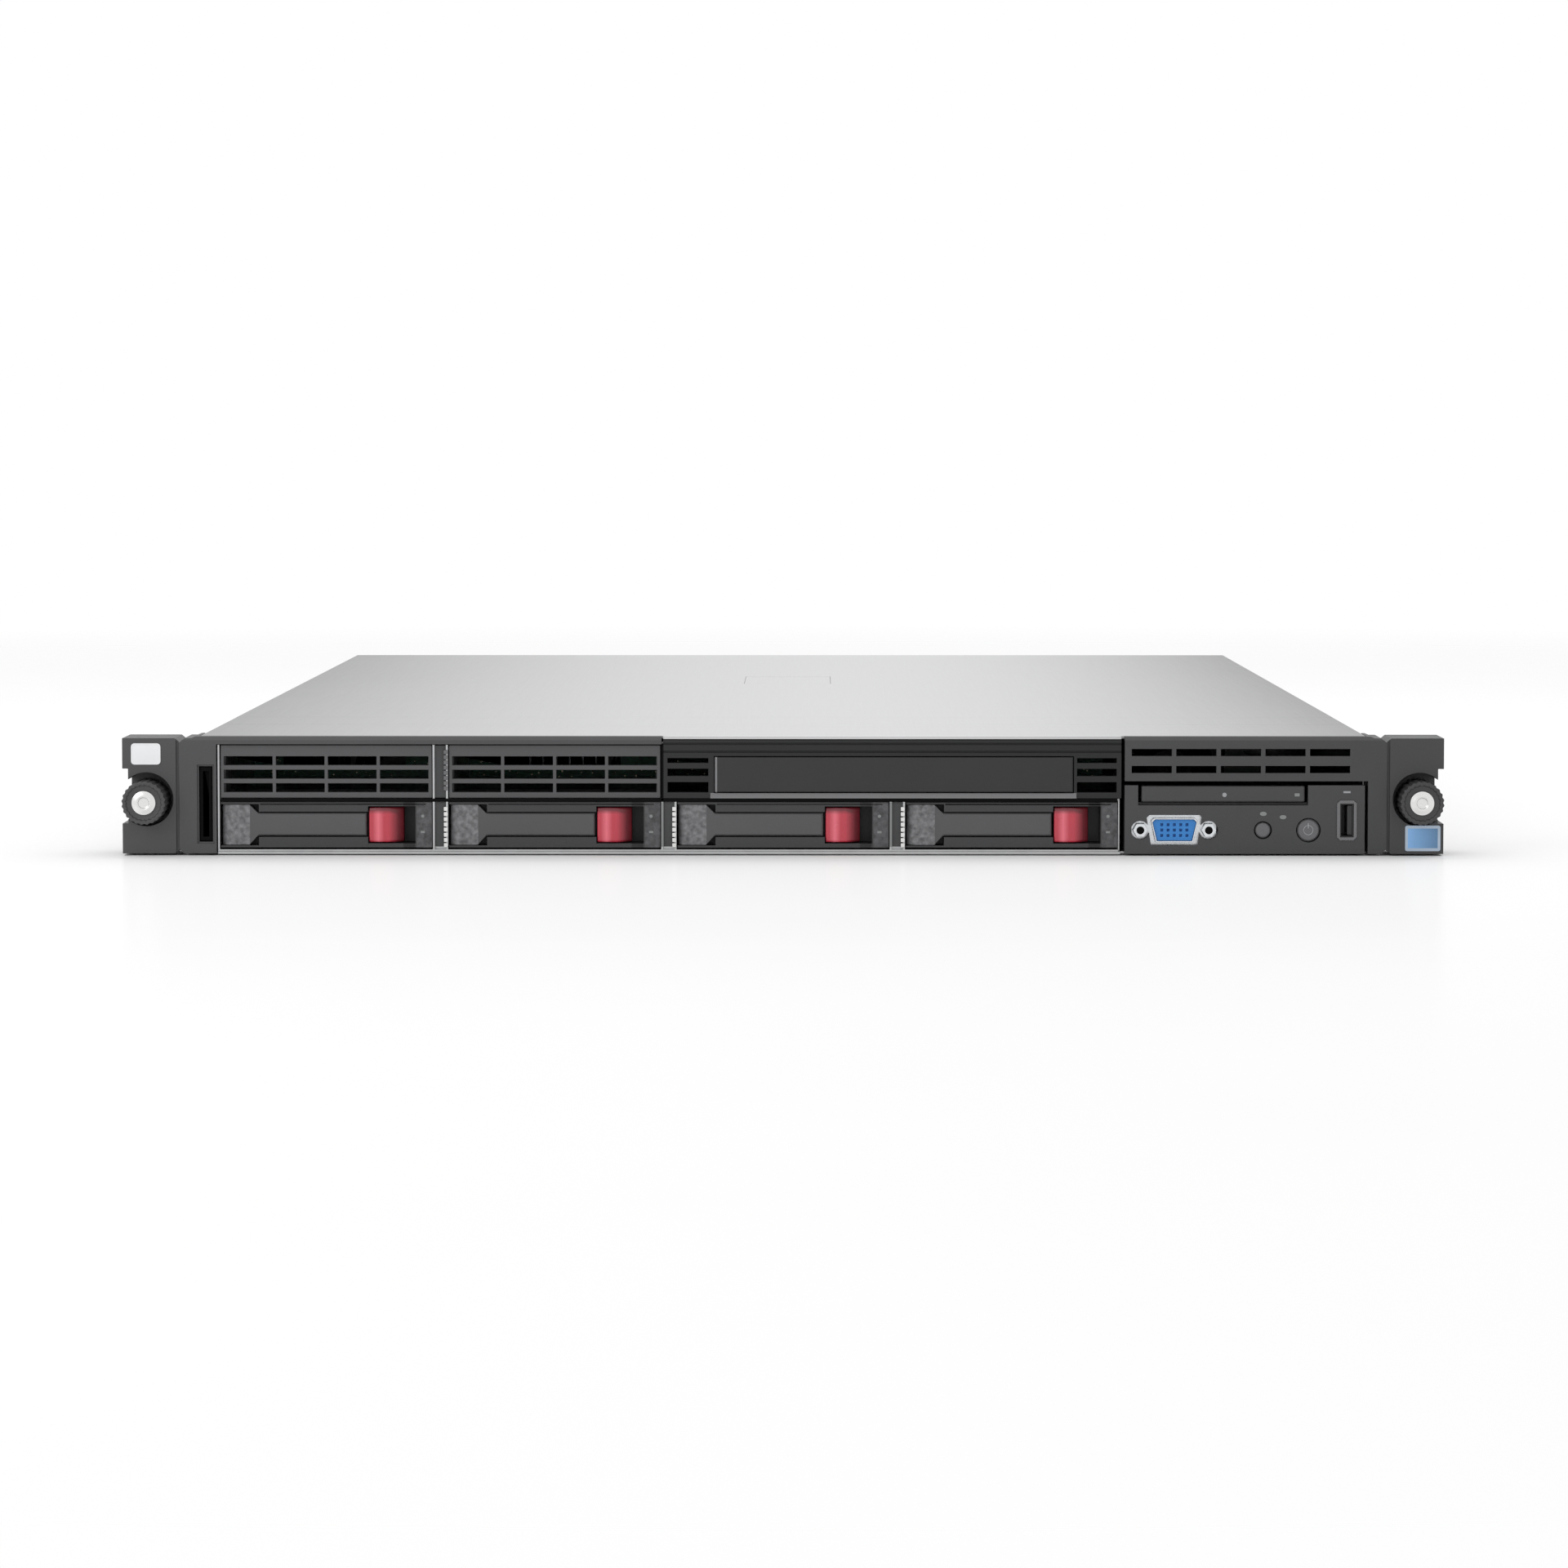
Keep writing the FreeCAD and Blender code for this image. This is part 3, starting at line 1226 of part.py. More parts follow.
MEMORY_START = 239
MEMORY_LONG = 134
MEMORY_STEP = 9.5
MEMORY_ROWS = (-INNER + 20, -MEMORY_STEP / 2, INNER - 62)


def memory_modules():
    """Upright memory modules, notched for their latches."""
    first = new_body("MemoryModule")
    low = BOARD_TOP + 5.5
    left = MEMORY_ROWS[0]
    start = behind(MEMORY_START)
    solid(first, "YZ", left - 0.7, left + 0.7, rect(start, start + MEMORY_LONG, low, low + 25))
    chips = [rect(start + 8 + 32 * i, start + 32 + 32 * i, low + 6, low + 20) for i in range(4)]
    solid(first, "YZ", left + 0.7, left + 1.6, *chips)
    modules = []
    for row in MEMORY_ROWS:
        for i in range(4):
            modules.append(place(compound([first]), row - left + MEMORY_STEP * i, 0, 0))
    return node("memory_modules", compound(modules))


def heat_sinks():
    """Finned processor coolers."""
    first = new_body("HeatSink")
    left = HEAT_SINKS[0] - HEAT_WIDTH / 2.0
    low = BOARD_TOP + 4
    start = behind(HEAT_START)
    solid(first, "XY", low, low + 4, rect(left, left + HEAT_WIDTH, start, start + 80))
    fin = solid(first, "XY", low + 4, low + 26, rect(left, left + 0.8, start, start + 80))
    row_of(first, fin, "X_Axis", HEAT_WIDTH - 0.8, 17)
    second = place(compound([first]), HEAT_SINKS[1] - HEAT_SINKS[0], 0, 0)
    return node("heat_sinks", compound([compound([first]), second]))


def air_baffle():
    """Moulded duct over the coolers and memory, open to the fans."""
    body = new_body("AirBaffle")
    low = BOARD_TOP + 32.2
    top = low + 1.2
    front = behind(d.fan_start + d.fan_depth + 16)
    back = ahead(d.latch_from_rear + d.latch_length + 5)
    side = INNER - 3
    profile = [
        (-side, BOARD_TOP), (-side + 1.2, BOARD_TOP), (-side + 1.2, low), (side - 1.2, low),
        (side - 1.2, BOARD_TOP), (side, BOARD_TOP), (side, top), (-side, top),
    ]
    solid(body, "XZ", front, back, profile)
    window = rect(-30, 30, back - 46, back - 16)
    hollow(body, "XY", low, top, window)
    return node("air_baffle", body)


# ---- rear: slots, ports and supplies ----

SLOT_SPAN = INNER - 38 - REAR_LEFT
SLOTS = (
    (REAR_LEFT + 1.5, SLOT_SPAN * 0.58),
    (REAR_LEFT + 8.5 + SLOT_SPAN * 0.58, SLOT_SPAN * 0.38),
)
SLOT_LOW = 22.2
SLOT_TALL = 18.4


def slot_window(slot):
    left, width = SLOTS[slot]
    return left + 1.5, left + width - 1.5, SLOT_LOW + 1, SLOT_LOW + SLOT_TALL - 1


def slot_covers():
    """Blank covers of the two expansion slots, pierced for air."""
    covers = []
    for left, width in SLOTS:
        body = new_body("SlotCover")
        back = ahead(d.sheet)
        start = back - 0.9
        solid(body, "XZ", start, back, rect(left, left + width, SLOT_LOW, SLOT_LOW + SLOT_TALL))
        count = int(number(width - 10) / 14)
        for low in (SLOT_LOW + 4, SLOT_LOW + 11):
            hole = hollow(body, "XZ", start, back, rect(left + 8, left + 18, low, low + 3.4))
            row_of(body, hole, "X_Axis", (width - 26) * ((count - 1) / count), count)
        covers.append(body)
    return node("slot_covers", compound(covers))


def riser_cage():
    """Folded bracket over the board that holds the expansion slots."""
    body = new_body("RiserCage")
    left = SLOTS[0][0] - 1
    right = SLOTS[1][0] + SLOTS[1][1] + 3
    low = SLOT_LOW - 1.4
    top = SLOT_LOW + SLOT_TALL + 0.5
    end = ahead(d.sheet + 1.3)
    start = ahead(190)
    split = (SLOTS[0][0] + SLOTS[0][1] + SLOTS[1][0]) / 2
    shelf = [
        (left, BOARD_TOP), (left + 1, BOARD_TOP), (left + 1, low), (right - 1, low),
        (right - 1, BOARD_TOP), (right, BOARD_TOP), (right, low + 1), (left, low + 1),
    ]
    solid(body, "XZ", start, end - 30, shelf)
    solid(body, "XZ", start, end, rect(split - 1, split + 1, low, top))
    return node("riser_cage", body)


PORT_LOW = 6.9
PORT_SPAN = INNER - REAR_LEFT
JACK_DEEP = 15
# kind, left edge as a share of the wall beside the supplies, width, height
REAR_PORTS = tuple(
    (kind, REAR_LEFT + PORT_SPAN * share, PORT_LOW, width, height)
    for kind, share, width, height in (
        ("jack", 0.02, 15.9, 13.2),
        ("dee", 0.13, 17.6, 10.0),
        ("dee", 0.28, 17.6, 10.0),
        ("jack", 0.45, 15.9, 13.2),
        ("jack", 0.535, 15.9, 13.2),
        ("flat", 0.64, 13.1, 5.7),
        ("flat", 0.72, 13.1, 5.7),
    )
)


def port_window(port, gap):
    kind, left, low, width, height = port
    if kind == "dee":
        return rect(left - 7.5 - gap, left + width + 7.5 + gap, low - gap, low + height + gap)
    return rect(left - gap, left + width + gap, low - gap, low + height + gap)


def dee_shell(port):
    """Flanged shell of a video or serial socket."""
    kind, left, low, width, height = port
    body = new_body("Shell")
    x = left + width / 2
    z = low + height / 2
    solid(body, "XZ", ahead(1.4), ahead(0.4), rect(left - 7, left + width + 7, low, low + height))
    solid(body, "XZ", ahead(0.4), ahead(-4.6), dee(x, z, DEE_WIDTH, DEE_TALL))
    inner = dee(x, z, DEE_WIDTH - d.shell_wall * 2, DEE_TALL - d.shell_wall * 2)
    hollow(body, "XZ", ahead(1.4), ahead(-4.6), inner)
    return body


def box_shell(port, depth):
    """Folded shell of a network or data socket."""
    kind, left, low, width, height = port
    body = new_body("Shell")
    wall = d.shell_wall
    solid(body, "XZ", ahead(depth), REAR, rect(left, left + width, low, low + height))
    inner = rect(left + wall, left + width - wall, low + wall, low + height - wall)
    hollow(body, "XZ", ahead(depth - 1.5), REAR, inner)
    return body


def rear_port_shells():
    """Pressed shells of the rear sockets, with the network sockets as a sub-part of their own."""
    dees = [dee_shell(port) for port in REAR_PORTS if port[0] == "dee"]
    flats = [box_shell(port, d.usb_depth) for port in REAR_PORTS if port[0] == "flat"]
    jacks = [box_shell(port, JACK_DEEP) for port in REAR_PORTS if port[0] == "jack"]
    node("network_shells", compound(jacks))
    return node("rear_port_shells", compound(dees + flats))


def rear_port_inserts():
    """Insulators inside the rear sockets."""
    inserts = []
    for port in REAR_PORTS:
        kind, left, low, width, height = port
        body = new_body("Insert")
        if kind == "dee":
            x = left + width / 2
            z = low + height / 2
            solid(body, "XZ", ahead(2.4), ahead(-3.6), dee(x, z, DEE_WIDTH - 1, DEE_TALL - 1))
            rows = 3 if port is REAR_PORTS[2] else 2
            for row in range(rows):
                level = z + (row - (rows - 1) / 2.0) * 2.2
                pin = hollow(body, "XZ", ahead(-2.2), ahead(-3.6), square(x - 4.6, level, 0.5))
                row_of(body, pin, "X_Axis", 9.2, 5)
            solid(body, "XZ", ahead(12), ahead(2.4), rect(left - 5, left + width + 5, low, low + height))
        elif kind == "jack":
            back = rect(left + 1, left + width - 1, low + 1, low + height - 1)
            comb = rect(left + 2.4, left + width - 2.4, low + 10, low + 12.2)
            solid(body, "XZ", ahead(13), ahead(12), back)
            solid(body, "XZ", ahead(12), ahead(1), comb)
        else:
            tongue = rect(left + 1.2, left + width - 1.2, low + 3.2, low + 4.9)
            solid(body, "XZ", ahead(12.4), ahead(1), tongue)
        inserts.append(body)
    return node("rear_port_inserts", compound(inserts))


def supply_x(supply):
    """Left edge of a power supply."""
    return (SUPPLY + d.supply_gap) * supply - INNER + d.sheet + d.fit_gap * 3


SUPPLY_WALL = 1.2
INLET_U = 6
INLET_WIDTH = 27.4
INLET_TALL = 20.0
INLET_Z = 6.0
INLET_DEEP = 18.0
INLET_WALL = 1.7
FAN_U = 60.5
HANDLE_U = 37.0
HANDLE_WIDTH = 5.0
LATCH_U = 79.6


def power_supply():
    """Steel supply case: fan guard, inlet opening and latch recess in its rear face."""
    body = new_body("Supply")
    left = supply_x(0)
    low = d.supply_foot
    high = low + d.supply_height
    start = ahead(d.supply_length)
    solid(body, "XZ", start, REAR, rect(left, left + SUPPLY, low, high))
    inside = rect(
        left + SUPPLY_WALL, left + SUPPLY - SUPPLY_WALL,
        low + SUPPLY_WALL, high - SUPPLY_WALL,
    )
    hollow(body, "XZ", start, ahead(INLET_DEEP + 4), inside)
    gap = d.fit_gap
    inlet = rect(
        left + INLET_U - gap, left + INLET_U + INLET_WIDTH + gap,
        low + INLET_Z - gap, low + INLET_Z + INLET_TALL + gap,
    )
    hollow(body, "XZ", ahead(INLET_DEEP + gap), REAR, inlet)
    middle = low + d.supply_height / 2
    petals = []
    for i in range(12):
        angle = math.radians(30 * i + 15)
        petals.append(petal(left + FAN_U, middle, 6.5, 16.8, angle, math.radians(10.5)))
    hollow(body, "XZ", ahead(2.5), REAR, *petals)
    latch = rect(left + LATCH_U - 3.4, left + LATCH_U + 4.6, middle - 7, middle + 7)
    hollow(body, "XZ", ahead(6), REAR, latch)
    plug = rect(left + 20, left + 66, low + SUPPLY_WALL - 0.2, low + 5.6)
    solid(body, "XZ", ahead(d.supply_length + 9), start + 20, plug)
    longest = number(d.supply_length) - 1
    eased(body, 0.8, lambda e: runs_along(e, "Y") and e.Length > longest, "Chamfer")
    return node("psu_1", body)


def petal(x, z, inner, outer, angle, half):
    """Wedge-shaped opening of a round guard."""
    corners = []
    for radius, turn in ((inner, -half * 0.7), (outer, -half), (outer, half), (inner, half * 0.7)):
        corners.append((x + radius * math.cos(angle + turn), z + radius * math.sin(angle + turn)))
    return corners


def supply_face():
    """Moulded inlet and bail handle of a supply."""
    body = new_body("SupplyFace")
    left = supply_x(0)
    low = d.supply_foot
    plate = REAR + d.fit_gap
    out = ahead(-d.handle_out)
    shell = rect(
        left + INLET_U, left + INLET_U + INLET_WIDTH,
        low + INLET_Z, low + INLET_Z + INLET_TALL,
    )
    solid(body, "XZ", ahead(INLET_DEEP), REAR + 1.6, shell)
    rim = INLET_WALL
    cavity = rect(
        left + INLET_U + rim, left + INLET_U + INLET_WIDTH - rim,
        low + INLET_Z + rim, low + INLET_Z + INLET_TALL - rim,
    )
    hollow(body, "XZ", ahead(INLET_DEEP - 2), REAR + 1.6, cavity)
    for u, z in ((6.7, 6.4), (13.7, 10.4), (20.7, 6.4)):
        x = left + INLET_U + u
        blade = rect(x - 1, x + 1, low + INLET_Z + z - 2, low + INLET_Z + z + 2)
        solid(body, "XZ", ahead(INLET_DEEP - 2), ahead(5), blade)
    base = rect(left + 3, left + HANDLE_U + HANDLE_WIDTH, low + 3, low + d.supply_height - 3)
    solid(body, "XZ", plate - d.fit_gap, plate + 1.3, base)
    hollow(body, "XZ", plate - d.fit_gap, plate + 1.3, cavity)
    bail_low = low + 3
    bail_high = low + d.supply_height - 3
    bail = [
        (plate, bail_low), (out - 4, bail_low), (out, bail_low + 4), (out, bail_high - 4),
        (out - 4, bail_high), (plate, bail_high), (plate, bail_high - 4), (out - 6, bail_high - 4),
        (out - 4, bail_high - 6), (out - 4, bail_low + 6), (out - 6, bail_low + 4), (plate, bail_low + 4),
    ]
    solid(body, "YZ", left + HANDLE_U, left + HANDLE_U + HANDLE_WIDTH, bail)
    eased(body, 1.0, lambda e: abs(mid(e).y - number(out)) < 0.01, "Chamfer")
    return node("psu_1_face", body)


def supply_latch():
    """Sideways release tab of a supply."""
    body = new_body("SupplyLatch")
    left = supply_x(0) + LATCH_U
    middle = d.supply_foot + d.supply_height / 2
    solid(body, "XZ", ahead(5.7), ahead(-8), rect(left, left + 4.2, middle - 6, middle + 6))
    eased(body, 1.5, lambda e: runs_along(e, "X") and mid(e).y > number(REAR))
    return node("psu_1_latch", body)


def build():
    chassis_tray()
    front_cover()
    access_panel()
    hood_latch()
    drive_cage()
    drive_backplane()
    rail_studs()
    left_ear()
    right_ear()
    ear_brackets()
    thumbscrew("left_thumbscrew", -1)
    thumbscrew("right_thumbscrew", 1)
    label_tab()
    io_panel()
    front_vga_shell()
    front_vga_insert()
    front_usb_port()
    round_key("power_button", PANEL_LEFT + d.power_from, d.power_radius)
    round_key("uid_button", PANEL_LEFT + d.locator_from, d.uid_radius)
    status_display_tab()
    media_bezel()
    media_blank()
    repeat("bay_blank_2", bay_blank(), BAY_PITCH)
    for maker, name in (
        (drive_carrier, "drive_carrier"), (eject_lever, "eject_lever"),
        (release_button, "release_button"), (disk_drive, "disk_drive"),
    ):
        first = maker()
        for bay in (1, 2, 3):
            repeat("%s_%d" % (name, bay + 1), first, BAY_PITCH * bay)
    fan_frames()
    first = fan_rotor()
    for fan in (1, 2, 3):
        repeat("fan_rotor_%d" % (fan + 1), first, FAN_PITCH * fan)
    motherboard()
    memory_modules()
    heat_sinks()
    air_baffle()
    slot_covers()
    riser_cage()
    rear_port_shells()
    rear_port_inserts()
    for maker, name in (
        (power_supply, "psu_2"), (supply_face, "psu_2_face"), (supply_latch, "psu_2_latch"),
    ):
        repeat(name, maker(), SUPPLY + d.supply_gap)


def check():
    """Refuses to write anything while an object is failed or a sub-part isn't sound."""
    for thing in doc.Objects:
        for state in ("Invalid", "Error"):
            if state in thing.State:
                raise RuntimeError("%s (%s): %s" % (thing.Name, thing.Label, thing.State))
    for thing in nodes:
        if thing.Shape.isNull() or not thing.Shape.isValid():
            raise RuntimeError("unsound shape: " + thing.Label)


build()
doc.recompute()
check()
os.makedirs("parts", exist_ok=True)
for thing in nodes:
    thing.Shape.exportStep("parts/%s.step" % thing.Label)
print(len(nodes), "sub-parts")
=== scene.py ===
"""Looks of a 1U rack server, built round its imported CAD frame."""

import json
import math

import bpy
from bpy.props import FloatProperty, FloatVectorProperty, PointerProperty
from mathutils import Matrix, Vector


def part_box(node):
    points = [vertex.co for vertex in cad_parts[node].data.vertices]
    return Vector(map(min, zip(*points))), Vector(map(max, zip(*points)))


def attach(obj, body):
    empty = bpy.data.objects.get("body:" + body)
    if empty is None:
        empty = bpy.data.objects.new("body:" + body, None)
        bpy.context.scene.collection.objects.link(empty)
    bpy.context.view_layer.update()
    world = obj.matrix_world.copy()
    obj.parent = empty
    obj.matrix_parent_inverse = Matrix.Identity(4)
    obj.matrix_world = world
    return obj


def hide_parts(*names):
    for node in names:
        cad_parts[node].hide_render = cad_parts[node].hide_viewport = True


bl_info = {
    "name": "Rack Server Looks",
    "version": (1, 0, 0),
    "blender": (4, 5, 0),
    "location": "View3D > Sidebar > Rack Server",
    "description": "Dresses the packed parts of a 1U rack server and lights them",
    "category": "Object",
}

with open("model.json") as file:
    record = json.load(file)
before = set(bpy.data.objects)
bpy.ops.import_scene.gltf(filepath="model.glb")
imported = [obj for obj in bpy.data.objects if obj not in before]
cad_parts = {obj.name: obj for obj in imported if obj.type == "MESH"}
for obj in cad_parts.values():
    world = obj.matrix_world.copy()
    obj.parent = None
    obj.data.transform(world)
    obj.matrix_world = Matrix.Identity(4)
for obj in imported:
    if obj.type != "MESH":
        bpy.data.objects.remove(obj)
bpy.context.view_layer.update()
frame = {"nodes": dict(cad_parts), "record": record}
MM = 0.001


def low(node):
    return Vector(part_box(node)[0])


def high(node):
    return Vector(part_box(node)[1])


def centre(node):
    return (low(node) + high(node)) / 2


FACE = low("io_panel").y        # front plane of the mouldings
SIDE = high("access_panel").x   # outside of the case, either side of the middle
THIN = 0.06 * MM                # thickness of a printed mark or a thin strip
BAYS = range(1, 5)
PITCH = low("drive_carrier_2").x - low("drive_carrier_1").x
BODY_OF = {node: body for body, nodes in frame["record"]["behaviour"]["bodies"].items() for node in nodes}
SLOT_OF = {part["node"]: part["material_slot"] for part in frame["record"]["subparts"]}


# ---- sizes and colours that a user would change ----

class ServerFinish(bpy.types.PropertyGroup):
    """Colours of the finishes."""

    cover: FloatVectorProperty(
        name="Covers", description="Satin sheet of the covers",
        subtype="COLOR", default=(0.60, 0.60, 0.605), min=0, max=1)
    zinc: FloatVectorProperty(
        name="Zinc", description="Plated steel of the tray, cage and brackets",
        subtype="COLOR", default=(0.50, 0.505, 0.51), min=0, max=1)
    bezel: FloatVectorProperty(
        name="Bezel", description="Grained plastic of the ears and panels",
        subtype="COLOR", default=(0.048, 0.048, 0.050), min=0, max=1)
    lever: FloatVectorProperty(
        name="Lever", description="Plastic of the eject levers",
        subtype="COLOR", default=(0.080, 0.080, 0.083), min=0, max=1)
    carrier: FloatVectorProperty(
        name="Carrier", description="Plastic of the drive carriers",
        subtype="COLOR", default=(0.034, 0.034, 0.036), min=0, max=1)
    release: FloatVectorProperty(
        name="Release", description="Clear red of the release buttons",
        subtype="COLOR", default=(0.52, 0.028, 0.055), min=0, max=1)
    insulator: FloatVectorProperty(
        name="Video insulator", description="Blue of the video connectors",
        subtype="COLOR", default=(0.03, 0.22, 0.60), min=0, max=1)
    label: FloatVectorProperty(
        name="Label", description="Plain foil label on the right ear",
        subtype="COLOR", default=(0.17, 0.33, 0.56), min=0, max=1)


class ServerSizes(bpy.types.PropertyGroup):
    """Sizes of the small pieces that the scene adds."""

    edge: FloatProperty(
        name="Moulded edge", description="Rounding of the moulded edges",
        unit="LENGTH", default=0.35 * MM, min=0, precision=5)
    fold: FloatProperty(
        name="Sheet edge", description="Rounding of the sheet metal edges",
        unit="LENGTH", default=0.18 * MM, min=0, precision=5)
    plate_width: FloatProperty(
        name="Plate width", description="Blank plate on the left ear",
        unit="LENGTH", default=10.8 * MM, min=0.001, precision=5)
    plate_height: FloatProperty(
        name="Plate height", description="Blank plate on the left ear",
        unit="LENGTH", default=7.8 * MM, min=0.001, precision=5)
    finger: FloatProperty(
        name="Spring finger", description="Pitch of the spring fingers between the bays",
        unit="LENGTH", default=1.9 * MM, min=0.0005, precision=5)
    label_width: FloatProperty(
        name="Label width", description="Foil label on the right ear",
        unit="LENGTH", default=12.9 * MM, min=0.001, precision=5)
    label_height: FloatProperty(
        name="Label height", description="Foil label on the right ear",
        unit="LENGTH", default=9.4 * MM, min=0.001, precision=5)


class StudioSettings(bpy.types.PropertyGroup):
    """Camera and light."""

    distance: FloatProperty(
        name="Distance", description="Camera ahead of the front plane",
        unit="LENGTH", default=1.978, min=0.1)
    height: FloatProperty(
        name="Height", description="Camera above the floor",
        unit="LENGTH", default=0.1576, min=0)
    across: FloatProperty(
        name="Across", description="Camera to the right of the middle",
        unit="LENGTH", default=0.0103)
    lens: FloatProperty(name="Lens", description="Focal length in millimetres", default=124.65, min=10)
    pitch: FloatProperty(
        name="Pitch", description="Camera tilt below level",
        subtype="ANGLE", default=math.radians(3.81))
    yaw: FloatProperty(
        name="Yaw", description="Camera turn to the left",
        subtype="ANGLE", default=math.radians(0.284))
    sky: FloatProperty(name="Sky", description="Even light all round", default=0.80, min=0)
    overhead: FloatProperty(
        name="Overhead", description="Power of the lamp above, in watts", default=7, min=0)
    front: FloatProperty(
        name="Front", description="Power of the lamp in front, in watts", default=6, min=0)


# ---- materials: expressions on sockets ----

class Wire:
    """A socket that can be used in arithmetic; each step adds a Math node."""

    def __init__(self, graph, socket):
        self.graph = graph
        self.socket = socket

    def maths(self, operation, *values):
        return self.graph.node("ShaderNodeMath", {"operation": operation}, *values)

    def __add__(self, other):
        return self.maths("ADD", self, other)

    __radd__ = __add__

    def __sub__(self, other):
        return self.maths("SUBTRACT", self, other)

    def __rsub__(self, other):
        return self.maths("SUBTRACT", other, self)

    def __mul__(self, other):
        return self.maths("MULTIPLY", self, other)

    __rmul__ = __mul__

    def __truediv__(self, other):
        return self.maths("DIVIDE", self, other)

    def __gt__(self, other):
        return self.maths("GREATER_THAN", self, other)

    def __lt__(self, other):
        return self.maths("LESS_THAN", self, other)

    def size(self):
        """Value without its sign."""
        return self.maths("ABSOLUTE", self)

    def kept(self):
        """Value held between 0 and 1."""
        return self.graph.node("ShaderNodeClamp", None, self)

    def part(self, name):
        """Another output of the same node."""
        return Wire(self.graph, self.socket.node.outputs[name])


class Graph:
    """A material's node tree."""

    def __init__(self, name):
        self.material = bpy.data.materials.new(name)
        self.material.use_nodes = True
        self.tree = self.material.node_tree
        self.tree.nodes.clear()
        self.out = self.tree.nodes.new("ShaderNodeOutputMaterial")

    def node(self, kind, settings=None, *values, **named):
        """Adds a node, applies its settings, then fills its inputs by order or by name."""
        made = self.tree.nodes.new(kind)
        for key, value in (settings or {}).items():
            setattr(made, key, value)
        for i, value in enumerate(values):
            self.fill(made.inputs[i], value)
        for key, value in named.items():
            self.fill(made.inputs[key.replace("_", " ")], value)
        shown = [s for s in made.outputs if s.enabled]
        return Wire(self, shown[0])

    def fill(self, socket, value):
        if isinstance(value, Wire):
            self.tree.links.new(value.socket, socket)
        elif socket.type == "RGBA" and len(value) == 3:
            socket.default_value = (*value, 1)
        else:
            socket.default_value = value

    def place(self):
        """Object coordinates, in metres."""
        return self.node("ShaderNodeTexCoord").part("Object")

    def axes(self):
        """The three object coordinates, each on its own."""
        split = self.node("ShaderNodeSeparateXYZ", None, self.place())
        return split.part("X"), split.part("Y"), split.part("Z")

    def in_bay(self, x):
        """Distance from the left of the drive carrier, the same in every bay."""
        return self.node("ShaderNodeMath", {"operation": "WRAP"}, x - low("drive_carrier_1").x, PITCH, 0.0)

    def stretched(self, x, y, z):
        """Object coordinates scaled along each axis."""
        return self.node("ShaderNodeMapping", {"vector_type": "POINT"}, Vector=self.place(), Scale=(x, y, z))

    def noise(self, scale, detail=2.0, vector=None, roughness=0.5):
        return self.node(
            "ShaderNodeTexNoise", None, Vector=vector or self.place(),
            Scale=scale, Detail=detail, Roughness=roughness)

    def blend(self, factor, first, second):
        """Mix of two colours."""
        mix = self.tree.nodes.new("ShaderNodeMix")
        mix.data_type = "RGBA"
        self.fill(mix.inputs[0], factor)
        self.fill(mix.inputs[6], first)
        self.fill(mix.inputs[7], second)
        return Wire(self, mix.outputs[2])

    def bump(self, height, distance, strength=1.0):
        return self.node("ShaderNodeBump", None, Height=height, Distance=distance, Strength=strength)

    def surface(self, **inputs):
        shader = self.node("ShaderNodeBsdfPrincipled", None, **inputs)
        self.tree.links.new(shader.socket, self.out.inputs["Surface"])
        return self.material


def tone(colour, amount):
    """A colour made lighter or darker."""
    return tuple(min(1.0, channel * amount) for channel in colour)


def grained_plastic(name, colour, grain=1.0, roughness=0.5, pale=None, shine=0.5):
    """Spark-eroded moulded plastic, with painted light: paler to the left and deeper to the right.

    The pale argument gives the left, right and top of a painted highlight: a pale patch where an edge
    catches the light.
    """
    g = Graph(name)
    x, y, z = g.axes()
    # Painted light: the base colour runs paler to the left and deeper to the right, as if the front were lit
    # more from the left.
    side = 0.5 - x / (2 * SIDE) * 0.8
    fine = g.noise(2600, 3.0, roughness=0.6)
    cloud = g.noise(24, 2.0)
    handled = g.noise(130, 3.0)
    base = g.blend(side + (cloud - 0.5) * 0.5, tone(colour, 0.7), tone(colour, 1.3))
    base = g.blend(fine * 0.35, base, tone(colour, 1.5))
    # Painted highlight: a pale patch where an edge catches the light.
    if pale:
        left, right, top = pale
        base = g.blend((x > left) * (x < right) * (z < top), base, (0.20, 0.20, 0.205))
    gloss = (handled - 0.5) * 0.12 + (fine - 0.5) * 0.10 + roughness
    return g.surface(
        Base_Color=base, Roughness=gloss, Specular_IOR_Level=shine,
        Normal=g.bump(fine, 0.00006 * grain, 0.55))


def gripped_plastic(name, colour, start, end, roughness=0.48, well=(0.0, 0.0)):
    """Moulded plastic with a paler, pebbled patch, and painted shade: a dark well between distances across
    each bay.
    """
    g = Graph(name)
    x, y, z = g.axes()
    across = g.in_bay(x)
    patch = (across > start) * (across < end)
    fine = g.noise(2600, 3.0, roughness=0.6)
    pebble = g.noise(560, 2.0)
    cloud = g.noise(24, 2.0)
    base = g.blend(cloud, tone(colour, 0.88), tone(colour, 1.14))
    paler = g.blend(((pebble - 0.5) * 2.4 + 0.5).kept(), tone(colour, 1.1), tone(colour, 2.9))
    base = g.blend(patch, base, paler)
    # Painted shade: a nearly black band between the well distances, where shade falls in the recess.
    base = g.blend((across > well[0]) * (across < well[1]), base, tone(colour, 0.15))
    height = fine + patch * pebble * 2.0
    return g.surface(
        Base_Color=base, Roughness=(fine - 0.5) * 0.14 + roughness, Normal=g.bump(height, 0.00008, 0.6))


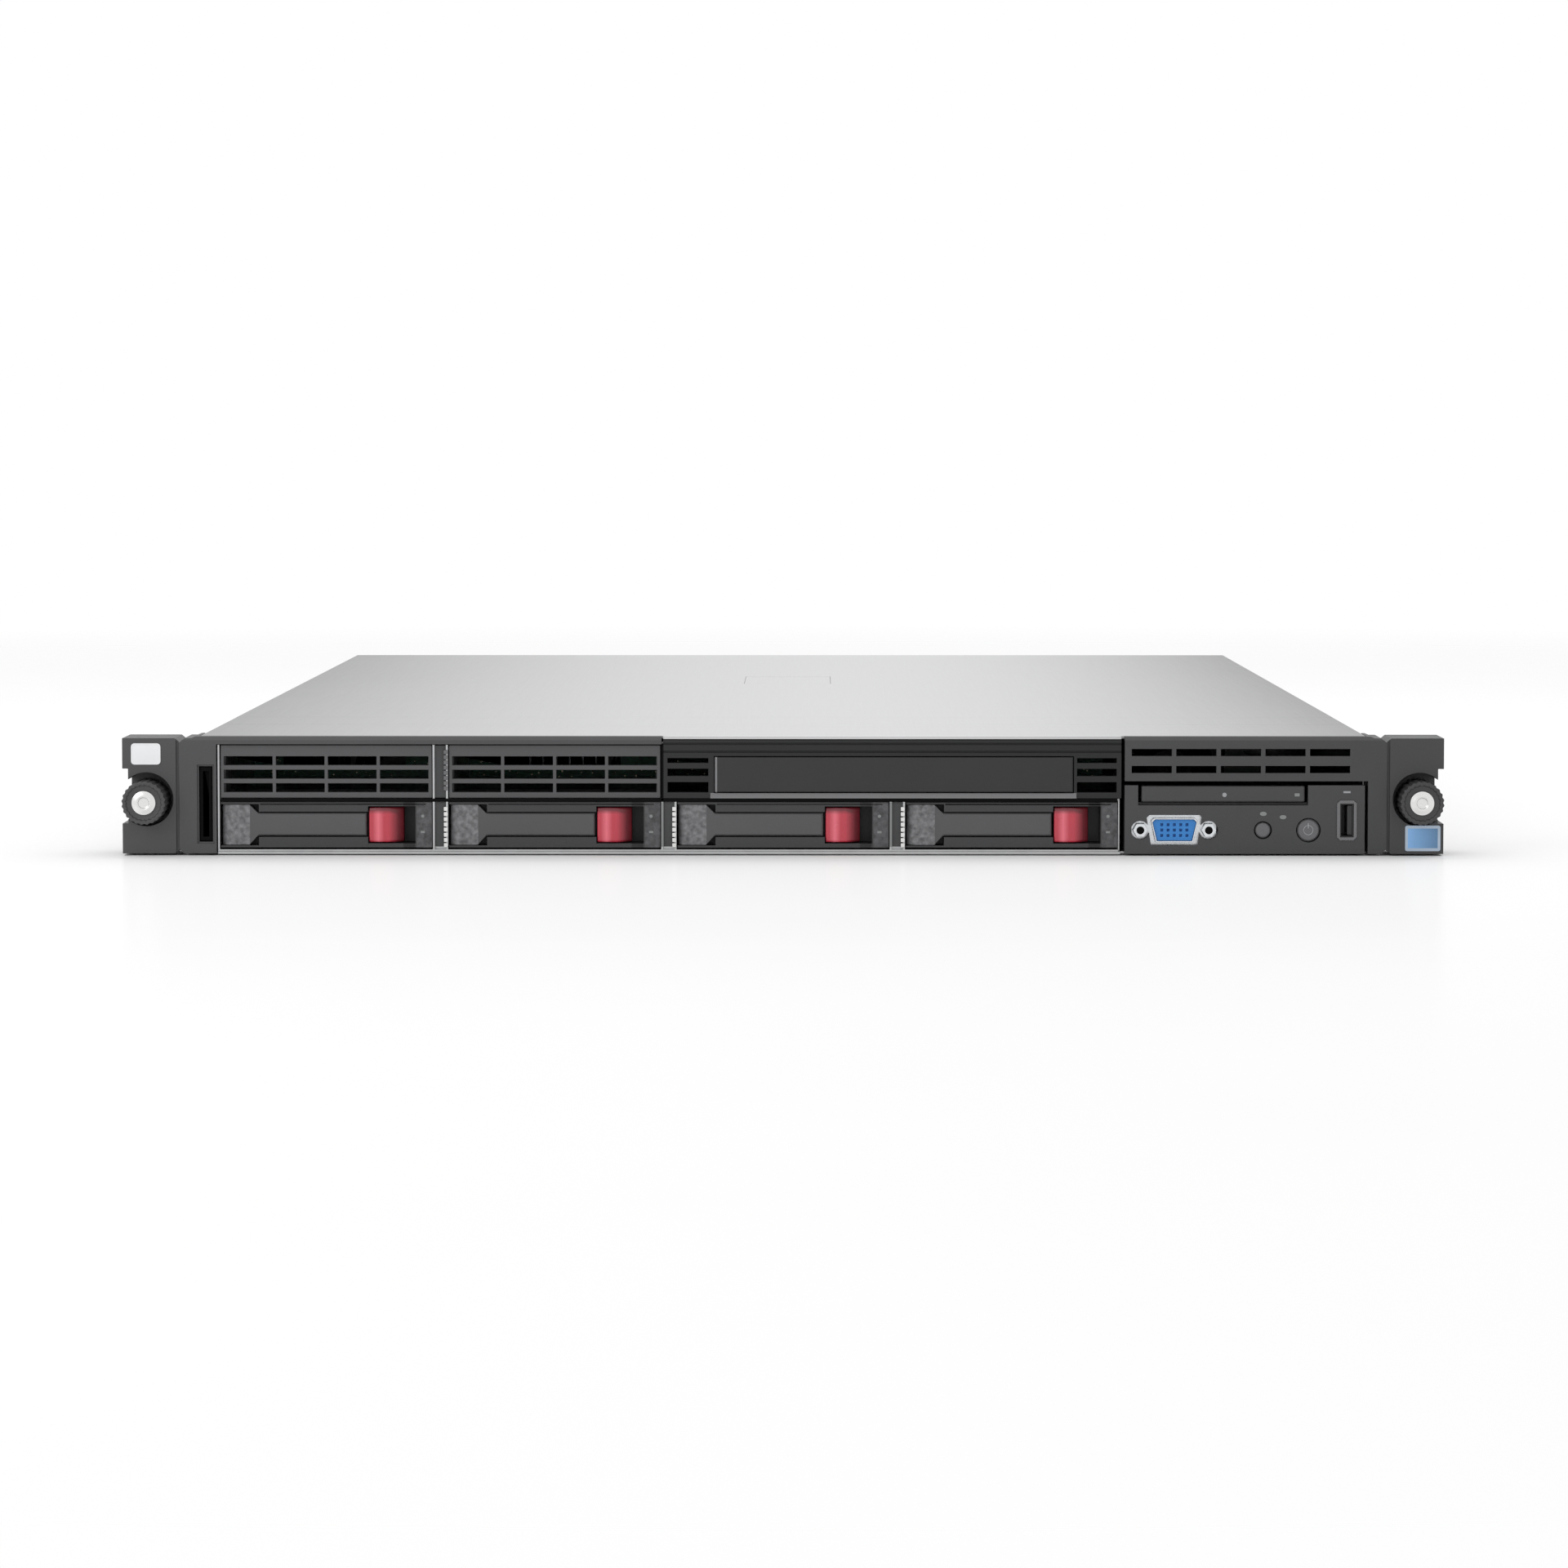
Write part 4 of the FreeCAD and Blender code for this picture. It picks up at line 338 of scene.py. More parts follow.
def satin_sheet(name, colour):
    """Satin coat on sheet steel: rolled streaks, faint orange peel, and a painted sheen, brightest a little
    right of the middle and deeper towards both sides.
    """
    g = Graph(name)
    x, y, z = g.axes()
    # Painted reflection: the base colour is brightest a little right of the middle and falls off towards
    # both sides.
    away = x / (2 * SIDE) - 0.08
    painted_sheen = 1.0 - away * away * ((away > 0.0) * 1.56 + 1.54)
    streak = g.noise(1.0, 3.0, vector=g.stretched(900, 14, 900))
    peel = g.noise(1500, 1.0)
    cloud = g.noise(5, 3.0)
    base = g.blend(cloud, tone(colour, 0.98), tone(colour, 1.02))
    base = g.blend(streak * 0.3, base, tone(colour, 0.93))
    base = g.blend(painted_sheen, (0, 0, 0), base)
    gloss = (cloud - 0.5) * 0.08 + (streak - 0.5) * 0.08 + 0.46
    return g.surface(
        Base_Color=base, Metallic=0.45, Roughness=gloss,
        Normal=g.bump(peel + streak * 0.5, 0.00002, 0.25))


def zinc_steel(name, colour, roughness=0.34):
    """Plated steel: soft spangle, rolling streaks and dull patches."""
    g = Graph(name)
    spangle = g.node("ShaderNodeTexVoronoi", {"feature": "F1"}, Vector=g.place(), Scale=210.0)
    cell = g.node("ShaderNodeSeparateColor", None, spangle.part("Color"))
    streak = g.noise(1.0, 2.0, vector=g.stretched(500, 18, 500))
    dull = g.noise(42, 4.0, roughness=0.62)
    base = g.blend(cell * 0.5, tone(colour, 0.92), tone(colour, 1.08))
    base = g.blend(dull * 0.3, base, tone(colour, 0.78))
    gloss = (cell - 0.5) * 0.10 + (dull - 0.5) * 0.16 + roughness
    return g.surface(
        Base_Color=base, Metallic=1.0, Roughness=gloss,
        Normal=g.bump(streak + cell * 0.2, 0.00002, 0.25))


def turned_steel(name, colour):
    """Bright turned steel with fine tool marks."""
    g = Graph(name)
    mark = g.noise(3000, 1.0)
    base = g.blend(mark * 0.4, colour, tone(colour, 0.82))
    return g.surface(
        Base_Color=base, Metallic=1.0, Roughness=(mark - 0.5) * 0.12 + 0.24,
        Normal=g.bump(mark, 0.00001, 0.3))


def tinned_shell(name, colour):
    """Pressed, tin-plated connector shell."""
    g = Graph(name)
    draw = g.noise(1.0, 2.0, vector=g.stretched(700, 60, 700))
    spots = g.noise(900, 2.0)
    base = g.blend(spots * 0.4, colour, tone(colour, 0.8))
    return g.surface(
        Base_Color=base, Metallic=1.0, Roughness=(draw - 0.5) * 0.2 + 0.28,
        Normal=g.bump(draw, 0.00001, 0.3))


def clear_red(name, colour):
    """Tinted glossy plastic with painted light: a painted highlight left of the middle, and painted shade
    deeper towards its top and its right side.
    """
    g = Graph(name)
    x, y, z = g.axes()
    button_left = low("release_button_1").x - low("drive_carrier_1").x
    across = (g.in_bay(x) - button_left) / (high("release_button_1").x - low("release_button_1").x)
    # Painted shade: the right side and the top of each button are painted darker.
    right = ((across - 0.58) * 3.6).kept()
    upper = ((z - high("release_button_1").z + 2.6 * MM) / (1.6 * MM)).kept()
    # Painted highlight: a pale pink band left of the middle.
    painted_highlight = (1.0 - (across - 0.27).size() * 6.0).kept()
    cloud = g.noise(300, 2.0)
    base = g.blend(painted_highlight * 0.8, colour, (0.92, 0.20, 0.26))
    base = g.blend((right + upper).kept() * 0.9, base, tone(colour, 0.12))
    base = g.blend(cloud * 0.25, base, tone(colour, 0.8))
    return g.surface(
        Base_Color=base, Roughness=(cloud - 0.5) * 0.08 + 0.26 + right * 0.3,
        Coat_Weight=(1.0 - right) * 0.4, Coat_Roughness=0.12, Normal=g.bump(cloud, 0.00001, 0.15))


def insulator(name, colour):
    """Glass-filled insulator plastic."""
    g = Graph(name)
    fibre = g.noise(1.0, 3.0, vector=g.stretched(2600, 700, 2600))
    base = g.blend(fibre * 0.5, tone(colour, 0.9), tone(colour, 1.2))
    return g.surface(
        Base_Color=base, Roughness=(fibre - 0.5) * 0.12 + 0.42, Normal=g.bump(fibre, 0.00002, 0.3))


def circuit_board(name, colour):
    """Solder mask over traces, with pale pads."""
    g = Graph(name)
    cells = g.node("ShaderNodeTexVoronoi", {"feature": "DISTANCE_TO_EDGE"}, Vector=g.place(), Scale=190.0)
    trace = cells < 0.06
    pads = g.node("ShaderNodeTexVoronoi", {"feature": "F1"}, Vector=g.place(), Scale=520.0) < 0.16
    base = g.blend(trace * 0.6, colour, tone(colour, 1.7))
    base = g.blend(pads, base, (0.62, 0.58, 0.42))
    return g.surface(
        Base_Color=base, Metallic=pads * 0.8, Roughness=0.42 - pads * 0.14,
        Normal=g.bump(trace + pads, 0.00004, 0.4))


def cast_aluminium(name, colour):
    """Fine-blasted aluminium."""
    g = Graph(name)
    fine = g.noise(1900, 3.0)
    cloud = g.noise(40, 2.0)
    base = g.blend(cloud, tone(colour, 0.9), tone(colour, 1.06))
    return g.surface(
        Base_Color=base, Metallic=1.0, Roughness=(fine - 0.5) * 0.14 + 0.38,
        Normal=g.bump(fine, 0.00004, 0.35))


def foil_label(name, colour):
    """Plain printed foil: paler on the left, with a pale border."""
    g = Graph(name)
    x, y, z = g.axes()
    middle = label_centre()
    across = (x - middle.x) / (6.2 * MM)
    upward = ((z - middle.z) / (4.1 * MM)).size()
    border = g.node("ShaderNodeMath", {"operation": "MAXIMUM"}, across.size(), upward) > 0.88
    sheen = g.noise(160, 2.0)
    inner = g.blend((across * 0.5 + 0.5 + sheen * 0.2).kept(), tone(colour, 1.5), tone(colour, 0.7))
    base = g.blend(border, inner, (0.42, 0.50, 0.60))
    return g.surface(
        Base_Color=base, Metallic=0.35, Roughness=(sheen - 0.5) * 0.1 + 0.30,
        Normal=g.bump(sheen, 0.00001, 0.1))


def enamel(name, colour):
    """Glossy enamel of the blank plate."""
    g = Graph(name)
    cloud = g.noise(500, 2.0)
    base = g.blend(cloud * 0.3, colour, tone(colour, 0.9))
    return g.surface(
        Base_Color=base, Roughness=(cloud - 0.5) * 0.08 + 0.22, Coat_Weight=0.3, Coat_Roughness=0.1,
        Normal=g.bump(cloud, 0.00001, 0.1))


def printed(name, colour, shine=0.5):
    """Pad-printed ink, or with little shine a near-black of painted shade for deep recesses and gaps."""
    g = Graph(name)
    speck = g.noise(4000, 2.0)
    base = g.blend(speck * 0.5, colour, tone(colour, 0.7))
    return g.surface(
        Base_Color=base, Roughness=(speck - 0.5) * 0.1 + 0.5, Specular_IOR_Level=shine,
        Normal=g.bump(speck, 0.00001, 0.2))


LEVER_END = 10.6 * MM      # wide end of a lever, from the left of its carrier
CARRIER_END = 71.6 * MM    # plain end of a carrier, from its left


def plate_centre():
    return Vector((low("left_ear").x + 8.7 * MM, FACE, low("left_ear").z + 36.5 * MM))


def label_centre():
    return Vector((high("right_ear").x - 7.55 * MM, FACE, low("right_ear").z + 5.75 * MM))


def make_finishes(finish):
    """One material for each slot of the record, and those of the added pieces."""
    return {
        "cover_grey": satin_sheet("satin_cover", finish.cover),
        "zinc_steel": zinc_steel("zinc_steel", finish.zinc),
        "bezel_plastic": grained_plastic("bezel_plastic", finish.bezel, 1.0, 0.50),
        "blank_plastic": grained_plastic("blank_plastic", tone(finish.bezel, 1.25), 0.8, 0.46),
        # Painted highlight: a pale strip down the left edge of the drive blank.
        "drive_blank": grained_plastic(
            "drive_blank", tone(finish.bezel, 0.62), 0.6, 0.44,
            (low("media_blank").x, low("media_blank").x + 0.9 * MM, high("media_blank").z), 0.3),
        # Painted highlight: a pale strip along the lit lip under the drive blank.
        "drive_bezel": grained_plastic(
            "drive_bezel", tone(finish.bezel, 0.45), 0.8, 0.48,
            (low("media_blank").x - 1.6 * MM, high("media_blank").x + 1.2 * MM,
             low("media_blank").z - 0.2 * MM),
            0.25),
        # Painted shade: a dark well to the right of each release button.
        "carrier_plastic": gripped_plastic(
            "carrier_plastic", finish.carrier, CARRIER_END, PITCH, 0.46,
            (high("release_button_1").x - low("drive_carrier_1").x, CARRIER_END - 0.6 * MM)),
        "lever_plastic": gripped_plastic("lever_plastic", finish.lever, 0.0, LEVER_END, 0.50),
        "knob_plastic": grained_plastic("knob_plastic", tone(finish.bezel, 0.85), 1.0, 0.42),
        "button_plastic": grained_plastic("button_plastic", tone(finish.bezel, 2.8), 0.7, 0.40),
        "latch_plastic": grained_plastic("latch_plastic", (0.42, 0.05, 0.07), 0.8, 0.42),
        "release_red": clear_red("release_red", finish.release),
        "blue_plastic": insulator("video_blue", finish.insulator),
        "insulator_black": insulator("insulator_black", (0.022, 0.022, 0.024)),
        "fan_plastic": insulator("fan_black", (0.03, 0.03, 0.032)),
        "connector_steel": tinned_shell("tinned_shell", (0.72, 0.74, 0.76)),
        "board_green": circuit_board("circuit_board", (0.02, 0.13, 0.07)),
        "cooler_aluminium": cast_aluminium("cooler_aluminium", (0.74, 0.75, 0.77)),
        "disk_aluminium": cast_aluminium("disk_aluminium", (0.58, 0.59, 0.61)),
        "turned_steel": turned_steel("turned_steel", (0.76, 0.76, 0.75)),
        # Painted shade: a darker copy of the tinned shell, for steel that sits in shade.
        "shaded_steel": tinned_shell("shaded_tin_shell", (0.17, 0.17, 0.175)),
        # Painted shade: near-black for gaps and recesses that lie in shade.
        "recess": printed("painted_shade_black", (0.005, 0.005, 0.005), 0.04),
        "foil_label": foil_label("foil_label", finish.label),
        "enamel": enamel("plate_enamel", (0.86, 0.87, 0.88)),
        "ink": printed("pale_ink", (0.34, 0.35, 0.36)),
        # Lens grey for the small lamps, also used as painted shade on the cage edges.
        "lens": printed("clear_lens_and_painted_shade", (0.24, 0.25, 0.25)),
        "seal": insulator("seal_grey", (0.045, 0.046, 0.048)),
    }


FINISH = {}


def finish_for(slot):
    if not FINISH:
        FINISH.update(make_finishes(bpy.context.scene.server_finish))
    return FINISH[slot]


# ---- modelling steps ----

def clear_selection():
    """Leaves edit mode with nothing selected."""
    if bpy.context.object and bpy.context.object.mode == "EDIT":
        bpy.ops.object.mode_set(mode="OBJECT")
    bpy.ops.object.select_all(action="DESELECT")


def only(thing):
    clear_selection()
    thing.select_set(True)
    bpy.context.view_layer.objects.active = thing


def edit(thing, pick, mode="FACE"):
    """Enters edit mode with the faces, edges or vertices that pick accepts selected."""
    only(thing)
    bpy.ops.object.mode_set(mode="EDIT")
    bpy.ops.mesh.select_mode(type=mode)
    bpy.ops.mesh.select_all(action="DESELECT")
    bpy.ops.object.mode_set(mode="OBJECT")
    mesh = thing.data
    items = {"FACE": mesh.polygons, "EDGE": mesh.edges, "VERT": mesh.vertices}[mode]
    for item in items:
        item.select = bool(pick(item))
    bpy.ops.object.mode_set(mode="EDIT")


def done():
    bpy.ops.object.mode_set(mode="OBJECT")


def modifier(thing, kind, **settings):
    """Adds a modifier and applies it."""
    only(thing)
    made = thing.modifiers.new(kind.title(), kind)
    for key, value in settings.items():
        setattr(made, key, value)
    bpy.ops.object.modifier_apply(modifier=made.name)


def settle(thing):
    """Moves an object's place, turn and scale into its mesh."""
    only(thing)
    bpy.ops.object.transform_apply(location=True, rotation=True, scale=True)


def soften(thing, width, segments=2, angle=35):
    """Rounds the sharp edges and smooths the shading across them."""
    modifier(
        thing, "BEVEL", width=width, segments=segments, limit_method="ANGLE",
        angle_limit=math.radians(angle), use_clamp_overlap=True)
    only(thing)
    bpy.ops.object.shade_smooth_by_angle(angle=math.radians(40))
    modifier(thing, "WEIGHTED_NORMAL", keep_sharp=True, weight=80)


def finished(thing, name, body, slot, stands_for=()):
    """Names a piece, gives it its finish and seats it on its body."""
    settle(thing)
    thing.name = name
    thing.data.name = name
    thing.data.materials.clear()
    thing.data.materials.append(finish_for(slot))
    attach(thing, body)
    if stands_for:
        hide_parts(*stands_for)
    return thing


def dressed(node, width, slot=None):
    """A copy of a CAD piece with its edges rounded, standing for it."""
    source = frame["nodes"][node]
    copy = bpy.data.objects.new(node + "_dressed", source.data.copy())
    bpy.context.scene.collection.objects.link(copy)
    edit(copy, lambda item: True, "VERT")
    bpy.ops.mesh.remove_doubles(threshold=0.000004)
    bpy.ops.mesh.select_all(action="SELECT")
    bpy.ops.mesh.dissolve_limited(angle_limit=math.radians(0.5), delimit={"NORMAL"})
    done()
    soften(copy, width)
    return finished(copy, node + "_dressed", BODY_OF[node], slot or SLOT_OF[node], (node,))


def copy_of(thing, shift, name, body, slot, stands_for=()):
    """A further piece with its own mesh, moved from the first."""
    copy = thing.copy()
    copy.data = thing.data.copy()
    copy.parent = None
    bpy.context.scene.collection.objects.link(copy)
    copy.location = shift
    return finished(copy, name, body, slot, stands_for)


def round_bar(middle, radius, length, vertices=48):
    """A cylinder along Y."""
    clear_selection()
    bpy.ops.mesh.primitive_cylinder_add(
        vertices=vertices, radius=radius, depth=length, location=middle, rotation=(math.pi / 2, 0, 0))
    bar = bpy.context.object
    settle(bar)
    return bar


def plate(middle, width, depth, height):
    """A block given by its middle and size."""
    clear_selection()
    bpy.ops.mesh.primitive_cube_add(size=1, location=middle, scale=(width, depth, height))
    block = bpy.context.object
    settle(block)
    return block


def faces_front(face):
    return face.normal.y < -0.9


# ---- operators ----

class PieceOperator(bpy.types.Operator):
    """Base of the operators that add pieces."""

    bl_options = {"REGISTER", "UNDO"}


class SERVER_OT_sheet_metal(PieceOperator):
    """Rounds the edges of the tray, covers, cage, brackets and supply cases"""

    bl_idname = "server.sheet_metal"
    bl_label = "Sheet Metal"

    def execute(self, context):
        fold = context.scene.server_sizes.fold
        for node in ("chassis_tray", "front_cover", "access_panel", "drive_cage", "ear_brackets",
                     "slot_covers", "psu_1", "psu_2"):
            dressed(node, fold)
        return {"FINISHED"}


class SERVER_OT_mouldings(PieceOperator):
    """Rounds the edges of the ears, panels, blanks and tabs"""

    bl_idname = "server.mouldings"
    bl_label = "Mouldings"

    def execute(self, context):
        edge = context.scene.server_sizes.edge
        for node in ("left_ear", "right_ear", "io_panel", "status_display_tab", "power_button",
                     "uid_button", "psu_1_face", "psu_2_face", "psu_1_latch", "psu_2_latch"):
            dressed(node, edge)
        dressed("media_bezel", edge, "drive_bezel")
        dressed("media_blank", edge, "drive_blank")
        # Painted shade: the label tab takes the near-black of a deep recess.
        dressed("label_tab", 0.08 * MM, "recess")
        blank = dressed("bay_blank_2", edge)
        copy_of(blank, (-PITCH, 0, 0), "bay_blank_1_dressed", BODY_OF["bay_blank_1"], "blank_plastic",
                ("bay_blank_1",))
        hood_lever()
        return {"FINISHED"}


def hood_lever():
    """Flush lever of the access panel under thin skins that leave only hairline seams."""
    lever = dressed("hood_latch", 0.1 * MM, "cover_grey")
    top = high("hood_latch").z
    skin = 0.4 * MM
    edit(lever, lambda vertex: vertex.co.z > top - 0.3 * MM, "VERT")
    bpy.ops.transform.translate(value=(0, 0, -skin - 0.05 * MM))
    done()
    middle = centre("hood_latch").x
    reach = 1.85 * MM   # of the skins past the lever
    half = high("hood_latch").x + reach
    front = low("hood_latch").y - reach
    hinge = high("hood_latch").y - 2.1 * MM
    for name, body, slot, start, end in (
            ("hood_latch_skin", BODY_OF["hood_latch"], SLOT_OF["hood_latch"], front, hinge + 1.5 * MM),
            ("latch_well_skin", BODY_OF["access_panel"], "cover_grey", hinge + 2.2 * MM, hinge + 5.9 * MM)):
        cover = plate((middle, (start + end) / 2, top - skin / 2), half * 2, end - start, skin)
        finished(cover, name, body, "cover_grey", ())


class SERVER_OT_drives(PieceOperator):
    """Dresses the four carriers with their levers and release buttons"""

    bl_idname = "server.drives"
    bl_label = "Drives"

    def execute(self, context):
        edge = context.scene.server_sizes.edge
        for bay in BAYS:
            dressed("drive_carrier_%d" % bay, edge * 0.7)
            dressed("eject_lever_%d" % bay, edge * 0.7)
            dressed("release_button_%d" % bay, edge * 1.8)
        return {"FINISHED"}


class SERVER_OT_thumbscrews(PieceOperator):
    """Models the fluted grips and their steel screws"""

    bl_idname = "server.thumbscrews"
    bl_label = "Thumbscrews"

    def execute(self, context):
        first = grip_piece("left_thumbscrew")
        screw = screw_piece("left_thumbscrew")
        across = Vector((centre("right_thumbscrew").x - centre("left_thumbscrew").x, 0, 0))
        copy_of(first, across, "right_thumbscrew_grip", "right_thumbscrew", "knob_plastic",
                ("right_thumbscrew",))
        copy_of(screw, across, "right_thumbscrew_screw", "right_thumbscrew", "turned_steel",
                ())
        return {"FINISHED"}


def grip_piece(node):
    """Grip with shallow flutes, a rounded rim and a dished front."""
    middle = centre(node)
    front = low(node).y
    radius = (high(node).x - low(node).x) / 2
    back = FACE + 10.7 * MM
    flutes = 24
    grip = round_bar((middle.x, (front + back) / 2, middle.z), radius, back - front, flutes * 4)
    axis = Vector((middle.x, 0, middle.z))

    def in_flute(vertex):
        angle = math.atan2(vertex.co.z - axis.z, vertex.co.x - axis.x) % math.tau
        return int(round(angle / math.tau * flutes * 4)) % 4 < 2

    edit(grip, in_flute, "VERT")
    bpy.ops.transform.resize(value=(0.955, 1, 0.955), center_override=(axis.x, front, axis.z))
    done()
    edit(grip, faces_front)
    for share, push in ((0.84, 0.0), (0.95, 0.8 * MM), (0.66, 0.4 * MM)):
        bpy.ops.mesh.extrude_region_move(TRANSFORM_OT_translate={"value": (0, push, 0)})
        bpy.ops.transform.resize(value=(share, 1, share), center_override=(axis.x, front, axis.z))
    done()
    soften(grip, 0.3 * MM, 2, 30)
    return finished(grip, node + "_grip", BODY_OF[node], "knob_plastic", (node,))


def screw_piece(node):
    """Steel screw: chamfered head with a round recess and a plain shank."""
    middle = centre(node)
    front = low(node).y
    head = round_bar((middle.x, front + 1.5 * MM, middle.z), 4.4 * MM, 2.2 * MM, 64)
    edit(head, faces_front)
    bpy.ops.mesh.inset(thickness=0.9 * MM, depth=0.0)
    bpy.ops.mesh.inset(thickness=0.5 * MM, depth=0.35 * MM)
    bpy.ops.mesh.inset(thickness=0.9 * MM, depth=0.0)
    bpy.ops.mesh.inset(thickness=0.25 * MM, depth=-0.8 * MM)
    done()
    shank_end = high(node).y
    shank = round_bar((middle.x, (front + 2.4 * MM + shank_end) / 2, middle.z), 2.5 * MM,
                      shank_end - front - 2.4 * MM, 40)
    only(head)
    shank.select_set(True)
    bpy.ops.object.join()
    soften(head, 0.25 * MM, 2, 40)
    return finished(head, node + "_screw", BODY_OF[node], "turned_steel", ())


class SERVER_OT_plates(PieceOperator):
    """Adds the blank plate of the left ear and the plain label of the right ear"""

    bl_idname = "server.plates"
    bl_label = "Plate and Label"

    def execute(self, context):
        sizes = context.scene.server_sizes
        spot = plate_centre()
        blank = plate(spot + Vector((0, -0.15 * MM, 0)), sizes.plate_width, 0.5 * MM, sizes.plate_height)
        round_corners(blank, 1.3 * MM)
        edit(blank, faces_front)
        bpy.ops.mesh.inset(thickness=0.4 * MM, depth=0)
        bpy.ops.mesh.inset(thickness=0.15 * MM, depth=-0.12 * MM)
        done()
        soften(blank, 0.08 * MM)
        finished(blank, "blank_plate", "chassis", "enamel", ())
        spot = label_centre()
        foil = plate(spot + Vector((0, -0.03 * MM, 0)), sizes.label_width, 0.16 * MM, sizes.label_height)
        round_corners(foil, 0.8 * MM)
        soften(foil, 0.04 * MM)
        finished(foil, "plain_label", "chassis", "foil_label", ())
        return {"FINISHED"}


def round_corners(thing, radius):
    """Bevels the edges that run front to back."""
    def runs_back(line):
        a, b = (thing.data.vertices[i].co for i in line.vertices)
        return abs((b - a).normalized().y) > 0.99

    edit(thing, runs_back, "EDGE")
    bpy.ops.mesh.bevel(offset=radius, segments=5)
    done()


class SERVER_OT_connectors(PieceOperator):
    """Finishes the sockets at the front and the rear"""

    bl_idname = "server.connectors"
    bl_label = "Connectors"

    def execute(self, context):
        for node in ("front_vga_shell", "front_vga_insert", "front_usb_port", "rear_port_shells",
                     "network_shells", "rear_port_inserts"):
            # Painted shade: the data port's shell takes the darker copy of the tinned shell.
            dressed(node, 0.12 * MM, "shaded_steel" if node == "front_usb_port" else None)
        data_port_shade_liner()
        jack_bores()
        return {"FINISHED"}


def data_port_shade_liner():
    """Lining of painted shade inside the upright data port, with its tongue of black insulator."""
    port = centre("front_usb_port")
    mouth = low("front_usb_port").y + 0.7 * MM
    depth = 11 * MM
    # Painted shade: the dark liner stands for the shade inside the port.
    liner = plate((port.x, mouth + depth / 2, port.z), 4.7 * MM, depth, 12.1 * MM)
    edit(liner, faces_front)
    bpy.ops.mesh.inset(thickness=0.3 * MM, depth=0)
    bpy.ops.mesh.extrude_region_move(TRANSFORM_OT_translate={"value": (0, depth - 0.5 * MM, 0)})
    done()
    finished(liner, "data_port_shade_liner", "chassis", "insulator_black", ())
    tongue = plate((port.x + 1.1 * MM, mouth + 5.4 * MM, port.z), 1.9 * MM, 10 * MM, 10.4 * MM)
    soften(tongue, 0.2 * MM)
    finished(tongue, "data_port_tongue", "chassis", "insulator_black", ())


def jack_bores():
    """Discs of painted shade inside the two jack nuts of the front video connector."""
    video = centre("front_vga_shell")
    spread = 12.5 * MM   # from the middle of the connector to each nut
    for name, across in (("jack_bore_left", -spread), ("jack_bore_right", spread)):
        bore = flat_disc((video.x + across, FACE - 0.6 * MM, video.z), 1.5 * MM)
        finished(bore, name, "chassis", "recess", ())


class SERVER_OT_springs(PieceOperator):
    """Adds the seals, the spring fingers and the thin strips of painted shade on the drive cage"""

    bl_idname = "server.springs"
    bl_label = "Seals and Springs"

    def execute(self, context):
        seals_and_springs(context.scene.server_sizes.finger)
        cage_strips()
        painted_seam_shade()
        return {"FINISHED"}


def cage_piece(thing, name, finish):
    """Seats an added piece on the chassis with the given finish."""
    return finished(thing, name, "chassis", finish, ())


def further_piece(thing, shift, name, finish):
    """A copy of an added piece, moved to another bay."""
    return copy_of(thing, shift, name, "chassis", finish, ())


def bay_height():
    """Middle and height of the open channel between two drive carriers."""
    foot = low("drive_carrier_1").z + 0.4 * MM
    tall = high("drive_carrier_1").z - foot
    return foot + tall / 2, tall


def seals_and_springs(pitch):
    """Seals and spring fingers in the channels between the carriers and between the upper blanks."""
    front = low("drive_cage").y
    middle, tall = bay_height()
    gap = low("drive_carrier_2").x - high("drive_carrier_1").x
    channel = high("drive_carrier_1").x + gap / 2
    width = gap - 2.3 * MM
    depth = 0.5 * MM
    back = front + 1.2 * MM
    seal = plate((channel, back, middle), width, depth, tall)
    soften(seal, 0.1 * MM)
    finger = plate(
        (low("drive_carrier_2").x - 1.15 * MM, front - 0.1 * MM, middle - tall / 2 + pitch * 0.3),
        1.5 * MM, 0.8 * MM, pitch * 0.8)
    modifier(finger, "ARRAY", count=int(tall / pitch), use_relative_offset=False,
             use_constant_offset=True, constant_offset_displace=(0, 0, pitch))
    soften(finger, 0.1 * MM, 1)
    blank_tall = high("bay_blank_1").z - low("bay_blank_1").z
    blank_seal = plate((channel, back, centre("bay_blank_1").z), width, depth, blank_tall - 0.2 * MM)
    cage_piece(blank_seal, "blank_seal", "seal")
    cage_piece(seal, "bay_seal_1", "seal")
    cage_piece(finger, "bay_springs_1", "turned_steel")
    upward = (0, 0, high("bay_blank_1").z - high("drive_carrier_1").z)
    # Painted shade: the springs between the upper blanks are a darker copy of the bay springs.
    further_piece(finger, upward, "blank_springs", "shaded_steel")
    for bay in (2, 3):
        shift = ((bay - 1) * PITCH, 0, 0)
        further_piece(seal, shift, "bay_seal_%d" % bay, "seal")
        further_piece(finger, shift, "bay_springs_%d" % bay, "turned_steel")


